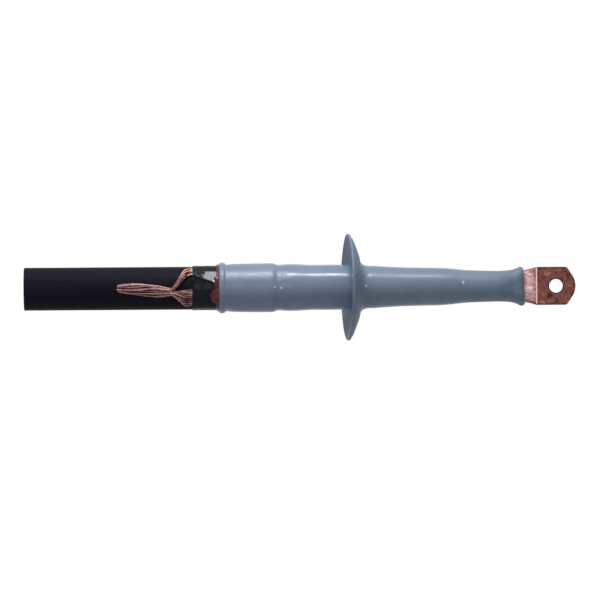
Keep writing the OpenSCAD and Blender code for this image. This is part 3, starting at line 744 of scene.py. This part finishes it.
# %% The mastic
BEAD_T, FILM_T, FILM_LEFT, BEAD_OVER_WIRES, BEAD_ROUND, BEAD_LIFT = 1.55, 0.27, 0.1, 1.1, 0.7, 0.1
BEAD_STEP, BEAD_SIDES, BEAD_UNEVEN = 0.12, 320, 0.12
SAME_PLACE = 1e-3
# Each lump: angle, its reach round the cable, its height, and how far it runs out over the tape
LUMPS = (
    (16.0, 13.4, 0.8, 2.5), (-21.0, 19.0, 1.0, 4.3), (95.0, 25.0, 0.2, 0.4), (160.0, 20.0, 0.35, 0.8),
    (-120.0, 22.0, 0.3, 0.6),
)

mastic = grained(
    "red_mastic", [(0.28, 48, 5, 11), (0.52, 92, 12, 22), (0.8, 146, 30, 40)], size=2.2, detail=2.0,
    depth=0.3, rough=(0.10, 0.22), Specular_IOR_Level=0.3,
)

bead_top, film_r = ON_JACKET_R + BEAD_T, ON_JACKET_R + FILM_T
bead = smooth_line([
    (X_BEAD, ON_JACKET_R), (X_BEAD, bead_top - BEAD_ROUND), (X_BEAD + BEAD_ROUND, bead_top),
    (X_MOUTH - BEAD_ROUND, bead_top), (X_MOUTH, bead_top - BEAD_ROUND / 2), (X_MOUTH, film_r),
], BEAD_STEP)
bm = turned(bead + [(X_TIGHT, film_r), (X_TIGHT, ON_JACKET_R)], BEAD_SIDES)
for v in bm.verts:
    x = v.co.x
    r, a = polar(v.co)
    height, lifted = r - ON_JACKET_R, over_wires(a)
    if x > X_MOUTH + SAME_PLACE:
        v.co = around(x, ON_JACKET_R + height * mix(1.0, FILM_LEFT, lifted), a)
        continue
    share = height / BEAD_T
    top = mix(bead_top, OVER_WIRES_R + BEAD_OVER_WIRES, lifted)
    swell = BEAD_UNEVEN * share * ripple(x * 0.8, a * 0.12, 2.0)
    out = (X_MOUTH - x) / (X_MOUTH - X_BEAD)
    for middle, reach, tall, run in LUMPS:
        h = dome(a, middle, reach)
        swell += tall * h * share * dome(out, 0.0, 1.0)
        x -= run * h * out
    r = mix(under_r(a), top, share) + swell
    if x < X_BEAD - SAME_PLACE:
        r = max(r, tape_r(x, a) + BEAD_LIFT)
    v.co = around(x, r, a)
piece(bm, "mastic_bead", ["sealing_mastic"], mastic, sharp=60)

# %% [markdown]
# The lug is a copper tube, crimped on the conductor in two places that the silicone hides, and pressed flat
# over its front part until it closes to a palm. Round sections that flatten step by step and are bridged to
# each other give that shape without any sculpting. The same rule is used again for the silicone lip.

# %% Sections of the flattened lug
PALM_BACK, TRANSITION_LEN, FLAT_BEND, WIDE_BEND = 15.0, 29.0, 1.3, 1.75
X_BEND = -PALM_BACK
X_BARREL = X_BEND - TRANSITION_LEN


def flat_point(x, share, grow):
    """A point on the lug's section at x, at that share of the way round from the front, upwards."""
    s = min(max((x - X_BARREL) / TRANSITION_LEN, 0.0), 1.0)
    thick = mix(2 * LUG_R, PALM_T, s ** FLAT_BEND)
    reach = (mix(2 * LUG_R, 2 * PALM_HALF, s ** WIDE_BEND) - thick) / 2
    middle = PALM_T / 2 - thick / 2
    r = thick / 2 + grow
    d = (share % 1.0) * (math.tau * r + 4 * reach)
    side = 1.0
    if d > math.pi * r + 2 * reach:
        d = math.tau * r + 4 * reach - d
        side = -1.0
    if d < reach:
        return Vector((x, middle - r, side * d))
    if d < reach + math.pi * r:
        a = (d - reach) / r
        return Vector((x, middle - r * math.cos(a), side * (reach + r * math.sin(a))))
    return Vector((x, middle + r, side * (2 * reach + math.pi * r - d)))


def ring(bm, points):
    """Makes a closed ring of vertices at the points, and gives back its edges."""
    made = bmesh.ops.create_circle(bm, segments=len(points), radius=1.0)["verts"]
    for v, point in zip(made, points):
        v.co = point
    return list({e for v in made for e in v.link_edges})


print("lug flattened from", round(X_BARREL, 1), "to", round(X_BEND, 1))

# %% The lug's tube
RING, CAVITY_STEPS, FLAT_STEPS = 96, 8, 36
LUG_WALL, LUG_EDGE, CAVITY_SHARE = PALM_T / 2, 0.4, 0.72
CRIMPS, CRIMP_FLATS, CRIMP_LEN, CRIMP_ROOM, CRIMP_EDGE = 2, 17.7, 10.0, 3.0, 0.6
JOIN_LAP, JOIN_INSET = 0.5, 0.05


def crimped(share):
    """How far a hexagonal crimp stands inside the round barrel at that share of the way round."""
    angle = math.radians((share * 360) % 60 - 30)
    return min(CRIMP_FLATS / 2 / math.cos(angle) - LUG_R, 0.0)


bm = bmesh.new()
# Each section: place, how far it stands out of the lug's outside, and whether it is crimped
sections = [
    (mix(X_BARREL, X_BEND, CAVITY_SHARE * (1 - k / CAVITY_STEPS)), -LUG_WALL, False)
    for k in range(CAVITY_STEPS + 1)
]
sections += [(X_LUG, -LUG_WALL, False), (X_LUG, -LUG_EDGE, False), (X_LUG + LUG_EDGE, 0.0, False)]
for k in range(CRIMPS):
    start = X_LUG + CRIMP_ROOM + k * (CRIMP_LEN + CRIMP_ROOM)
    end = start + CRIMP_LEN
    sections += [(start, 0.0, False), (start + CRIMP_EDGE, 0.0, True)]
    sections += [(end - CRIMP_EDGE, 0.0, True), (end, 0.0, False)]
sections += [(mix(X_BARREL, X_BEND, k / FLAT_STEPS), 0.0, False) for k in range(FLAT_STEPS + 1)]
sections += [(X_BEND + JOIN_LAP, -JOIN_INSET, False)]
last = None
for x, grow, crimp in sections:
    shares = [j / RING for j in range(RING)]
    edges = ring(bm, [flat_point(x, t, grow + (crimped(t) if crimp else 0.0)) for t in shares])
    if last is None:
        bmesh.ops.contextual_create(bm, geom=edges)
    else:
        bmesh.ops.bridge_loops(bm, edges=last + edges)
    last = edges
bmesh.ops.contextual_create(bm, geom=last)
print("lug tube:", len(sections), "sections")

# %% [markdown]
# The palm is flat copper with slanted corners and a blunt, slightly rounded end, and one bolt hole. It
# starts as two loops, the hole and the outline, bridged to a sheet. Solidify makes it thick, and bevels round
# its edges: well along the sides, which were the tube's own wall, and a little where it was cut.

# %% The palm
HOLE_R, HOLE_BEVEL, END_BEVEL, SIDE_BEVEL = 5.25, 0.25, 0.55, 2.0
CORNER_X, SLANT, SLOPE = 7.5, 1.7, 0.7
NOSE_ANGLE, NOSE_STEP, OUTLINE_STEP = 40, 8, 2.2
SHARP_ANGLE, HOLE_MARGIN = math.radians(60), 2

nose = [(X_NOSE * wave(90 - a), X_NOSE * wave(a)) for a in range(NOSE_ANGLE, -1, -NOSE_STEP)]
upper = [(X_BEND, PALM_HALF), (CORNER_X, PALM_HALF), (CORNER_X + SLANT, PALM_HALF - SLANT * SLOPE)] + nose
lower = [(x, -z) for x, z in reversed(upper[:-1])]
outline = [Vector((x, 0.0, z)) for x, z in divided(upper + lower + upper[:1], OUTLINE_STEP)[:-1]]
palm = bmesh.new()
rim_edges = ring(palm, outline)
hole_edges = ring(palm, [point.normalized() * HOLE_R for point in outline])
bmesh.ops.bridge_loops(palm, edges=rim_edges + hole_edges)
bmesh.ops.recalc_face_normals(palm, faces=palm.faces)
bmesh.ops.solidify(palm, geom=palm.faces[:], thickness=PALM_T)
low_y = min(v.co.y for v in palm.verts)
bmesh.ops.translate(palm, verts=palm.verts, vec=(0.0, -PALM_T / 2 - low_y, 0.0))


def rounded(bm, wanted, offset, segments):
    """Bevels the sharp edges of the palm's two faces that the test wants."""
    edges = [
        e for e in bm.edges
        if len(e.link_faces) == 2 and e.calc_face_angle(0.0) > SHARP_ANGLE
        and abs(e.verts[0].co.y - e.verts[1].co.y) < TOUCH and wanted(e)
    ]
    bmesh.ops.bevel(
        bm, geom=edges, offset=offset, offset_type="OFFSET", segments=segments, profile=0.5,
        affect="EDGES", material=-1, clamp_overlap=True,
    )
    return len(edges)


def on_hole(edge):
    return min(math.hypot(v.co.x, v.co.z) for v in edge.verts) <= HOLE_R + HOLE_MARGIN


def on_side(edge):
    return all(abs(abs(v.co.z) - PALM_HALF) < SAME_PLACE for v in edge.verts)


def on_end(edge):
    on_bend = all(abs(v.co.x - X_BEND) < SAME_PLACE for v in edge.verts)
    return not (on_hole(edge) or on_bend or on_side(edge))


for wanted, offset, segments in ((on_hole, HOLE_BEVEL, 3), (on_end, END_BEVEL, 3), (on_side, SIDE_BEVEL, 5)):
    print("palm:", rounded(palm, wanted, offset, segments), "edges rounded by", offset)

# %% [markdown]
# Bare copper goes brown and blotchy in air, and stays paler where the press slid along it. A painted
# highlight streaks that pale copper, and another painted highlight lies as a bright line along the crease.
# Painted shade darkens the pale copper towards the bottom, near the lip, left of the crease and towards its
# edges, and darkens the palm's rounded edges, its nose and a ring round the bolt hole. All of these follow
# the place on the lug, so the finish is mixed by the place along it and by noise.

# %% Copper of the lug
copper = Finish("lug_copper", Metallic=0.85)
along, up = copper.axis("X"), copper.axis("Z")
high_up = copper.maths("ABSOLUTE", up)
from_hole = copper.hypotenuse(along, high_up)
# Painted shade for the palm's rounded edges and its nose.
PAINTED_EDGE_SHADE = shade(58, 36, 34)

blotches = copper.noise(size=3.6, detail=5.0, rough=0.62, twist=0.6)
specks = copper.noise(size=0.9, detail=4.0, rough=0.65)
brown = copper.ramp(
    blotches, (0.34, 56, 34, 30), (0.43, 98, 56, 50), (0.50, 126, 70, 72),
    (0.56, 104, 72, 54), (0.66, 168, 108, 98),
)
brown = copper.blend(copper.step(specks, 0.50, 0.72, high=0.7), brown, shade(74, 42, 40))

# The pale copper where the press slid along it, streaked lighter with a painted highlight.
dragged = copper.noise(size=2.4, detail=2.0, stretch=(0.12, 1, 1))
pale = copper.ramp(dragged, (0.34, 170, 126, 126), (0.50, 204, 168, 170), (0.66, 238, 210, 210))
# Painted shade on the pale copper: darker towards the bottom, left of the crease, near the lip and towards
# the edges.
shaded = copper.over(up, -11.0, -2.0, 0.5, 0.0)
for shadow in (
    copper.over(along, X_BEND - 4, X_BEND - 1, high=0.55), copper.over(along, X_LIP, X_LIP + 3, 0.7, 0.0),
    copper.over(high_up, PALM_HALF - 6.1, PALM_HALF - 1.6),
):
    shaded = copper.maths("MAXIMUM", shaded, shadow)
pale = copper.blend(shaded, pale, shade(122, 82, 76))

# Painted highlight along the crease, and painted shade at the rim of the nose.
crease_highlight = copper.over(along, X_BEND - 0.6, X_BEND - 0.2)
nose_shade = copper.over(along, 10.0, 10.8, high=0.8)
colour = brown
# Each coat over the brown: its share, which follows the place, and its colour. The first carries a painted
# highlight, the second is the painted highlight on the crease, the rest are painted shade.
for share, coat in (
    (copper.over(along, X_BEND - 0.8, X_BEND - 0.2, 1.0, 0.0), pale),
    (copper.times(crease_highlight, copper.over(along, X_BEND + 0.3, X_BEND + 0.8, 1.0, 0.0)), shade(238, 192, 182)),
    (copper.over(high_up, PALM_HALF - 1.6, PALM_HALF - 0.4, high=0.8), PAINTED_EDGE_SHADE),
    (copper.over(from_hole, HOLE_R + 0.65, HOLE_R + 1.05, 0.85, 0.0), shade(52, 32, 30)),
    (copper.times(nose_shade, copper.over(from_hole, X_NOSE - 0.9, X_NOSE - 0.3)), PAINTED_EDGE_SHADE),
):
    colour = copper.blend(share, colour, coat)
copper.set(Base_Color=colour, Roughness=copper.step(blotches, 0.3, 0.7, low=0.30, high=0.48))
copper.bump(copper.add(blotches, copper.times(specks, 0.35)), depth=0.12)

palm_data = bpy.data.meshes.new("palm_sheet")
palm.to_mesh(palm_data)
palm.free()
bm.from_mesh(palm_data)
bpy.data.meshes.remove(palm_data)
bmesh.ops.recalc_face_normals(bm, faces=bm.faces)
piece(bm, "flattened_lug", ["compression_lug"], copper, sharp=28)

# %% [markdown]
# The silicone tube was moulded wide, held open, and shrank on the cable when its core was pulled out. So
# its outside shows what lies under it: the folded wires make the bulge, the step behind them a puckered
# neck, and the stress tube and the insulation a long taper. One line is turned about the cable, with skirt
# and collar as part of it, so that the skin is one piece, as it was moulded.

# %% The line of the silicone tube
WALL_WIRES, WALL_STRESS, WALL_BODY, WALL_LUG, WALL_MOUTH = 1.3, 2.8, 2.65, 1.95, 1.05
COLLAR_W, COLLAR_RISE, NECK_DIP = 4.8, 1.6, 1.2
STRESS_T, STRESS_END_T, SKIRT_AHEAD, SKIN_STEP = 1.9, 0.5, 39.5, 0.55
X_SKIRT = X_SCREEN + SKIRT_AHEAD
TUBE_R0 = ON_JACKET_R + FILM_T + GAP
MOUTH_R = TUBE_R0 + WALL_MOUTH
BULGE_R = OVER_WIRES_R + WALL_WIRES
WAIST_R = STRESS_R + GAP + WALL_STRESS
HIP_R = INSULATION_R + 2 * GAP + STRESS_T + WALL_BODY
SHOULDER_R = INSULATION_R + 3 * GAP + STRESS_END_T + WALL_BODY
BODY_R = INSULATION_R + GAP + WALL_BODY
BARREL_R = LUG_R + GAP + WALL_LUG
# From the lug to the mouth: barrel, body, shoulder, hip, waist, neck, bulge, and the foot of the collar
stations = [
    (X_BARREL, BARREL_R), (X_BARREL - 14, BARREL_R + 0.3), (X_LUG + 5, BARREL_R + 0.85),
    (X_INSULATION - 2, BODY_R - 0.6), (X_INSULATION - 13, BODY_R), (X_STRESS_AHEAD, SHOULDER_R),
    (X_STRESS_AHEAD - 23, HIP_R), (X_SKIRT, HIP_R + 0.2), (X_SKIRT - 15, WAIST_R), (X_SCREEN + 3, WAIST_R),
    (X_SCREEN - 9, WAIST_R + 0.6), (X_STRESS_BACK + 0.4, WAIST_R + 0.65),
    (X_JACKET + 5, BULGE_R - NECK_DIP), (X_JACKET + 1.6, BULGE_R - 0.15), (X_JACKET - 3.5, BULGE_R),
    (X_JACKET - 16, BULGE_R - 0.1), (X_TIGHT - 0.5, BULGE_R - 0.35), (X_MOUTH + COLLAR_W + 1, MOUTH_R),
    (X_MOUTH + COLLAR_W, MOUTH_R),
]
skin_line = smooth_line(stations, SKIN_STEP)


def skin_between(x_from, x_to):
    return [p for p in skin_line if x_to <= p[0] <= x_from]


print("skin line:", len(stations), "stations,", len(skin_line), "points")

# %% [markdown]
# The skirt sheds rain and makes the way along the surface longer. It thins from its root to its rim and
# leans towards the cable's side. Its faces are nearly straight, so each is one short rule, with an oval
# fillet towards the lug and a round rim between them.

# %% The line of the skirt
SKIRT_RISE, SKIRT_RIM_T, SKIRT_ROOT_T, SKIRT_BOW = 7.2, 2.8, 4.0, 0.1
SKIRT_FILLET, FILLET_RUN, BACK_FILLET, BACK_RISE = 5.0, 7.0, 2.0, 0.5
RIM_DRAW, DRAW_FROM = 0.7, 0.86
SKIRT_STEPS, ROUND_STEPS, BACK_STEPS = 26, 10, 6
rim_r, root_r = SKIRT_R - SKIRT_RIM_T / 2, HIP_R + SKIRT_FILLET


def skirt_left(u):
    x = X_SKIRT - SKIRT_RISE * mix(u, u ** 3, SKIRT_BOW)
    return (x - mix(SKIRT_ROOT_T, SKIRT_RIM_T, u), mix(root_r, rim_r, u))


def skirt_right(u):
    """The side towards the lug, which draws in a little near the rim."""
    x, r = skirt_left(u)
    drawn_in = RIM_DRAW * ease((u - DRAW_FROM) / (1 - DRAW_FROM)) ** 2
    return (x + mix(SKIRT_ROOT_T, SKIRT_RIM_T, u) - drawn_in, r)


def arc(x, r, wide, tall, start, end, steps):
    """Points on an oval arc round (x, r), from one angle to another."""
    angles = [mix(start, end, k / steps) for k in range(steps + 1)]
    return [(x + wide * wave(90 - a), r + tall * wave(a)) for a in angles]


tip_x, tip_r = skirt_right(1.0)
foot_x = X_SKIRT - SKIRT_ROOT_T
rim_half = (SKIRT_RIM_T - RIM_DRAW) / 2
rim_middle = (tip_x - rim_half, tip_r + SKIRT_RIM_T / 2 - rim_half)
back_middle = (foot_x - BACK_FILLET, HIP_R + BACK_RISE + BACK_FILLET)
skirt = arc(X_SKIRT + FILLET_RUN, root_r, FILLET_RUN, SKIRT_FILLET, 270, 180, ROUND_STEPS)
skirt += [skirt_right(k / SKIRT_STEPS) for k in range(1, SKIRT_STEPS + 1)]
skirt += arc(*rim_middle, rim_half, rim_half, 10, 170, ROUND_STEPS)
skirt += [skirt_left(1 - k / SKIRT_STEPS) for k in range(SKIRT_STEPS + 1)]
skirt += arc(*back_middle, BACK_FILLET, BACK_FILLET, 0, -80, BACK_STEPS)
print("skirt line:", len(skirt), "points, rim radius", round(rim_r, 2))

# %% [markdown]
# At the lug the tube ends in a thick lip, which is soft enough to follow the flattened copper. It is drawn
# here as if the lug were still round, and is laid on the lug's own sections afterwards. At the mouth the
# tube ends in a rolled collar, whose section is a round made squarer.

# %% The line of the lip, the collar and the inside
LIP_COVER, LIP_BEAD, LIP_RISE, LIP_EDGE, LIP_ROUND = X_LIP - X_BARREL, 9.0, 1.0, 0.55, 3.0
LIP_STEPS, LIP_STEEP, LIP_GAP, BORE_STEP = 44, 0.58, 0.2, 1.5
COLLAR_SQUARE, COLLAR_FROM, COLLAR_TURN = 0.6, 30, 5


def lip_r(from_end):
    swell = wave(180 * (from_end / LIP_BEAD) ** LIP_STEEP) if from_end < LIP_BEAD else 0.0
    close = min(1.0, LIP_EDGE + from_end / LIP_ROUND)
    return LUG_R + GAP + WALL_LUG * close + LIP_RISE * swell


def squared(value):
    """Makes a round squarer."""
    return math.copysign(abs(value) ** COLLAR_SQUARE, value)


lip = [(X_LIP - LIP_COVER * k / LIP_STEPS, lip_r(LIP_COVER * k / LIP_STEPS)) for k in range(LIP_STEPS)]
lip_inside = divided([(X_BARREL, LUG_R + LIP_GAP), (X_LIP, LUG_R + LIP_GAP)], BORE_STEP)
collar_half, collar_r = COLLAR_W / 2, MOUTH_R + COLLAR_RISE - COLLAR_W / 2
collar = [
    (X_MOUTH + collar_half * (1 + squared(wave(90 - a))), collar_r + collar_half * squared(wave(a)))
    for a in range(COLLAR_FROM, 181, COLLAR_TURN)
]
stress_bore, hip_bore = STRESS_R + GAP, HIP_R - WALL_BODY
inside = [
    (X_MOUTH + 1, TUBE_R0), (X_TIGHT, TUBE_R0), (X_TIGHT + 0.5, OVER_WIRES_R), (X_FOLD, OVER_WIRES_R),
    (X_FOLD + FOLD_R * 0.9, WIRE_OUT_R + WIRE_LIFT), (X_FOLD + FOLD_R + WIRE_D, WIRE_IN_R + FOLD_R + 1),
    (X_STRESS_BACK, INSULATION_R + 1.5), (X_STRESS_BACK + 8, stress_bore), (X_SCREEN, stress_bore),
    (X_SCREEN + 6, hip_bore), (X_STRESS_AHEAD - 8, hip_bore), (X_STRESS_AHEAD, SHOULDER_R - WALL_BODY),
    (X_STRESS_AHEAD + 2, INSULATION_R + GAP), (X_INSULATION, INSULATION_R + GAP),
    (X_LUG + 10, LUG_R + 0.4),
]
profile = lip + skin_between(X_BARREL, X_SKIRT + FILLET_RUN + 0.3) + skirt
profile += skin_between(foot_x - BACK_FILLET - 0.6, X_MOUTH + COLLAR_W + 0.5) + collar + inside + lip_inside
print("silicone line:", len(profile), "points")

# %% [markdown]
# The skin took its shape on this cable: raised over the wires at the mouth, puckered at the neck, dented
# where a thumb pressed it, leaned at the skirt and laid on the flat of the lug at the lip. Sculpting could
# do that once, and short rules do it again for any size.

# %% How the skin settled
# Each dimple: place, angle, reach in millimetres, depth
DIMPLES = (
    (X_JACKET + 8.6, 38.0, 1.8, 0.16), (X_JACKET + 9.0, -15.0, 3.5, 0.30),
    (X_JACKET + 11.0, 120.0, 3.0, 0.35), (X_JACKET + 7.0, 160.0, 2.6, 0.40),
    (X_JACKET + 6.0, -75.0, 3.0, 0.35), (X_JACKET + 8.0, -130.0, 2.6, 0.40),
    (X_MOUTH + 7.0, 8.0, 3.0, 0.25), (X_MOUTH + 8.0, -30.0, 3.5, 0.25),
)
# Each raised speck of moulding flash, coloured pale as a painted glint: place, angle, reach in millimetres,
# height
SPECKS = (
    (X_LUG + 3.5, 13.6, 1.3, 0.30), (X_SKIRT + 4.6, 3.0, 1.1, 0.30), (X_JACKET + 3.0, 1.0, 1.0, 0.30),
    (X_JACKET + 7.6, -1.0, 1.1, 0.30),
)
MARKS = DIMPLES + tuple((x, angle, reach, -tall) for x, angle, reach, tall in SPECKS)
PUCKER, FINE_PUCKER, SETTLED = 0.16, 0.06, 0.07


def skin_r(x, r, a):
    """Radius of the outside after the skin has settled on the cable."""
    near_mouth = 1 - ease((x - X_TIGHT + 1) / 8)
    if x > X_MOUTH + COLLAR_W - 0.8:
        r = mix(r, max(r, OVER_WIRES_R + WALL_MOUTH), over_wires(a) * near_mouth)
    r += PUCKER * hump(x, X_JACKET + 7.5, 9.0) * ripple(x * 0.55, a * 0.11, 4.0)
    in_front = hump(x, X_JACKET + 9.0, 6.0) * hump(a, 36.0, 22.0)
    r += FINE_PUCKER * in_front * ripple(x * 0.9, a * 0.2, 9.0)
    for place, angle, reach, depth in MARKS:
        off = math.hypot(x - place, math.radians((a - angle + 180) % 360 - 180) * r)
        if off < reach:
            r -= depth * ease(1 - off / reach)
    return r + SETTLED * ripple(x * 0.05, a * 0.012, 5.0)


# %% How the lip and the skirt settled
# Each nub on the lip: angle, its reach in degrees, height
NUBS = ((84.0, 12.0, 0.45), (-86.0, 16.0, 0.5), (150.0, 25.0, 0.3), (-30.0, 18.0, 0.25))
NUB_BACK, NUB_RUN, LIP_UNEVEN, LIP_SLANT = 3.0, 2.8, 0.10, 0.55
SKIRT_LEAN, FLUTTER, FLUTTER_RUN = math.radians(6.3), 0.35, 18
LEAN_FROM, LEAN_RUN = HIP_R + 1.5, 9.0


def lip_point(x, r, a, bore):
    """A point of the lip, laid on the lug's flattened section, with nubs on its outside.

    The lip's end is slanted, because the soft tube never settles quite square.
    """
    grow = r - LUG_R
    if not bore:
        for angle, reach, tall in NUBS:
            grow += tall * hump(a, angle, reach) * hump(x, X_LIP - NUB_BACK, NUB_RUN)
        grow += LIP_UNEVEN * ripple(x * 0.3, a * 0.06, 6.0)
    slanted = x - LIP_SLANT * wave(a) * ease((x - X_LIP + LIP_BEAD) / LIP_BEAD)
    return flat_point(slanted, a / 360, grow)


def skirt_point(x, r, a):
    """A point of the skirt, which leans to the lug in front and flutters at its rim."""
    flutter = FLUTTER * ease((r - root_r) / FLUTTER_RUN) * ripple(a * 0.02, 1.0, 8.0)
    point = around(x + flutter, r, a)
    point.x += (AXIS_Y - point.y) * math.tan(SKIRT_LEAN) * ease((r - LEAN_FROM) / LEAN_RUN)
    return point


# %% The silicone tube
TURNS, SKIRT_FROM = 176, HIP_R + 4.0

bm = turned(profile, TURNS, bore=len(inside) + len(lip_inside))
inner = bm.verts.layers.int["inner"]
for v in bm.verts:
    x = v.co.x
    r, a = polar(v.co)
    if x > X_BARREL - SAME_PLACE:
        v.co = lip_point(x, r, a, v[inner])
    elif v[inner] and x < X_TIGHT + 0.2:
        v.co = around(x, mix(r, OVER_WIRES_R, over_wires(a)), a)
    elif not v[inner] and r > SKIRT_FROM:
        v.co = skirt_point(x, r, a)
    elif not v[inner]:
        v.co = around(x, skin_r(x, r, a), a)
print("silicone tube turned in", TURNS, "steps")

# %% [markdown]
# Silicone rubber for outdoors is matt to satin, a little cloudy, and shows faint flow and handling marks.
# A soft mottling in the colour, a gentle roughness change and a very fine bump are enough. It is glossiest
# where it is stretched, on the waist, and dullest on the skirt, so the roughness follows the place.

# %% Silicone finish
PAINTED_GLINT, GLINT_SHARE = shade(222, 229, 240), 0.75
# Each change of roughness along the cable: where it starts, how far it runs, how much it adds
GLOSS_CHANGES = ((X_JACKET - 0.5, 7.0, -0.105), (X_SKIRT - 14.5, 45.0, 0.09), (X_INSULATION - 1, 20.0, 0.23))
BODY_ROUGH, SKIRT_ROUGH = 0.31, 0.65

rubber = Finish("blue_grey_silicone", Specular_IOR_Level=0.28)
along = rubber.axis("X")
cloud = rubber.noise(size=14.0, rough=0.5)
rub = rubber.noise(size=2.2, detail=4.0, rough=0.6, stretch=(0.4, 1, 1))
dust = rubber.noise(size=0.7, detail=2.0)
base = rubber.ramp(cloud, (0.3, 106, 122, 143), (0.7, 115, 130, 151))
base = rubber.blend(rubber.step(rub, 0.55, 0.8, high=0.25), base, shade(140, 150, 168))
# Painted glints: the specks are coloured pale, as if they caught the lamp.
for x, angle, reach, tall in SPECKS:
    speck_r = min(skin_line, key=lambda p: abs(p[0] - x))[1] + tall
    glint = rubber.near(around(x, speck_r, angle), reach)
    base = rubber.blend(rubber.times(glint, GLINT_SHARE), base, PAINTED_GLINT)

gloss = rubber.step(rub, 0.3, 0.7, low=-0.03, high=0.05)
for start, run, change in GLOSS_CHANGES:
    gloss = rubber.add(gloss, rubber.over(along, start, start + run, high=change))
from_axis = rubber.hypotenuse(rubber.add(rubber.axis("Y"), -AXIS_Y / MM_PER_M), rubber.axis("Z"))
gloss = rubber.add(gloss, rubber.over(from_axis, 19.5, 24.0, BODY_ROUGH, SKIRT_ROUGH))
rubber.set(Base_Color=base, Roughness=gloss)

streaks = rubber.noise(size=1.5, detail=2.0, stretch=(0.06, 1, 1))
streaks = rubber.times(streaks, rubber.over(along, X_JACKET - 3.5, X_JACKET + 2.5, 1.6, 0.0))
relief = rubber.add(rub, rubber.times(dust, 0.35))
rubber.bump(rubber.add(relief, streaks), depth=0.035)
piece(bm, "silicone_tube", ["silicone_body"], rubber, sharp=50)
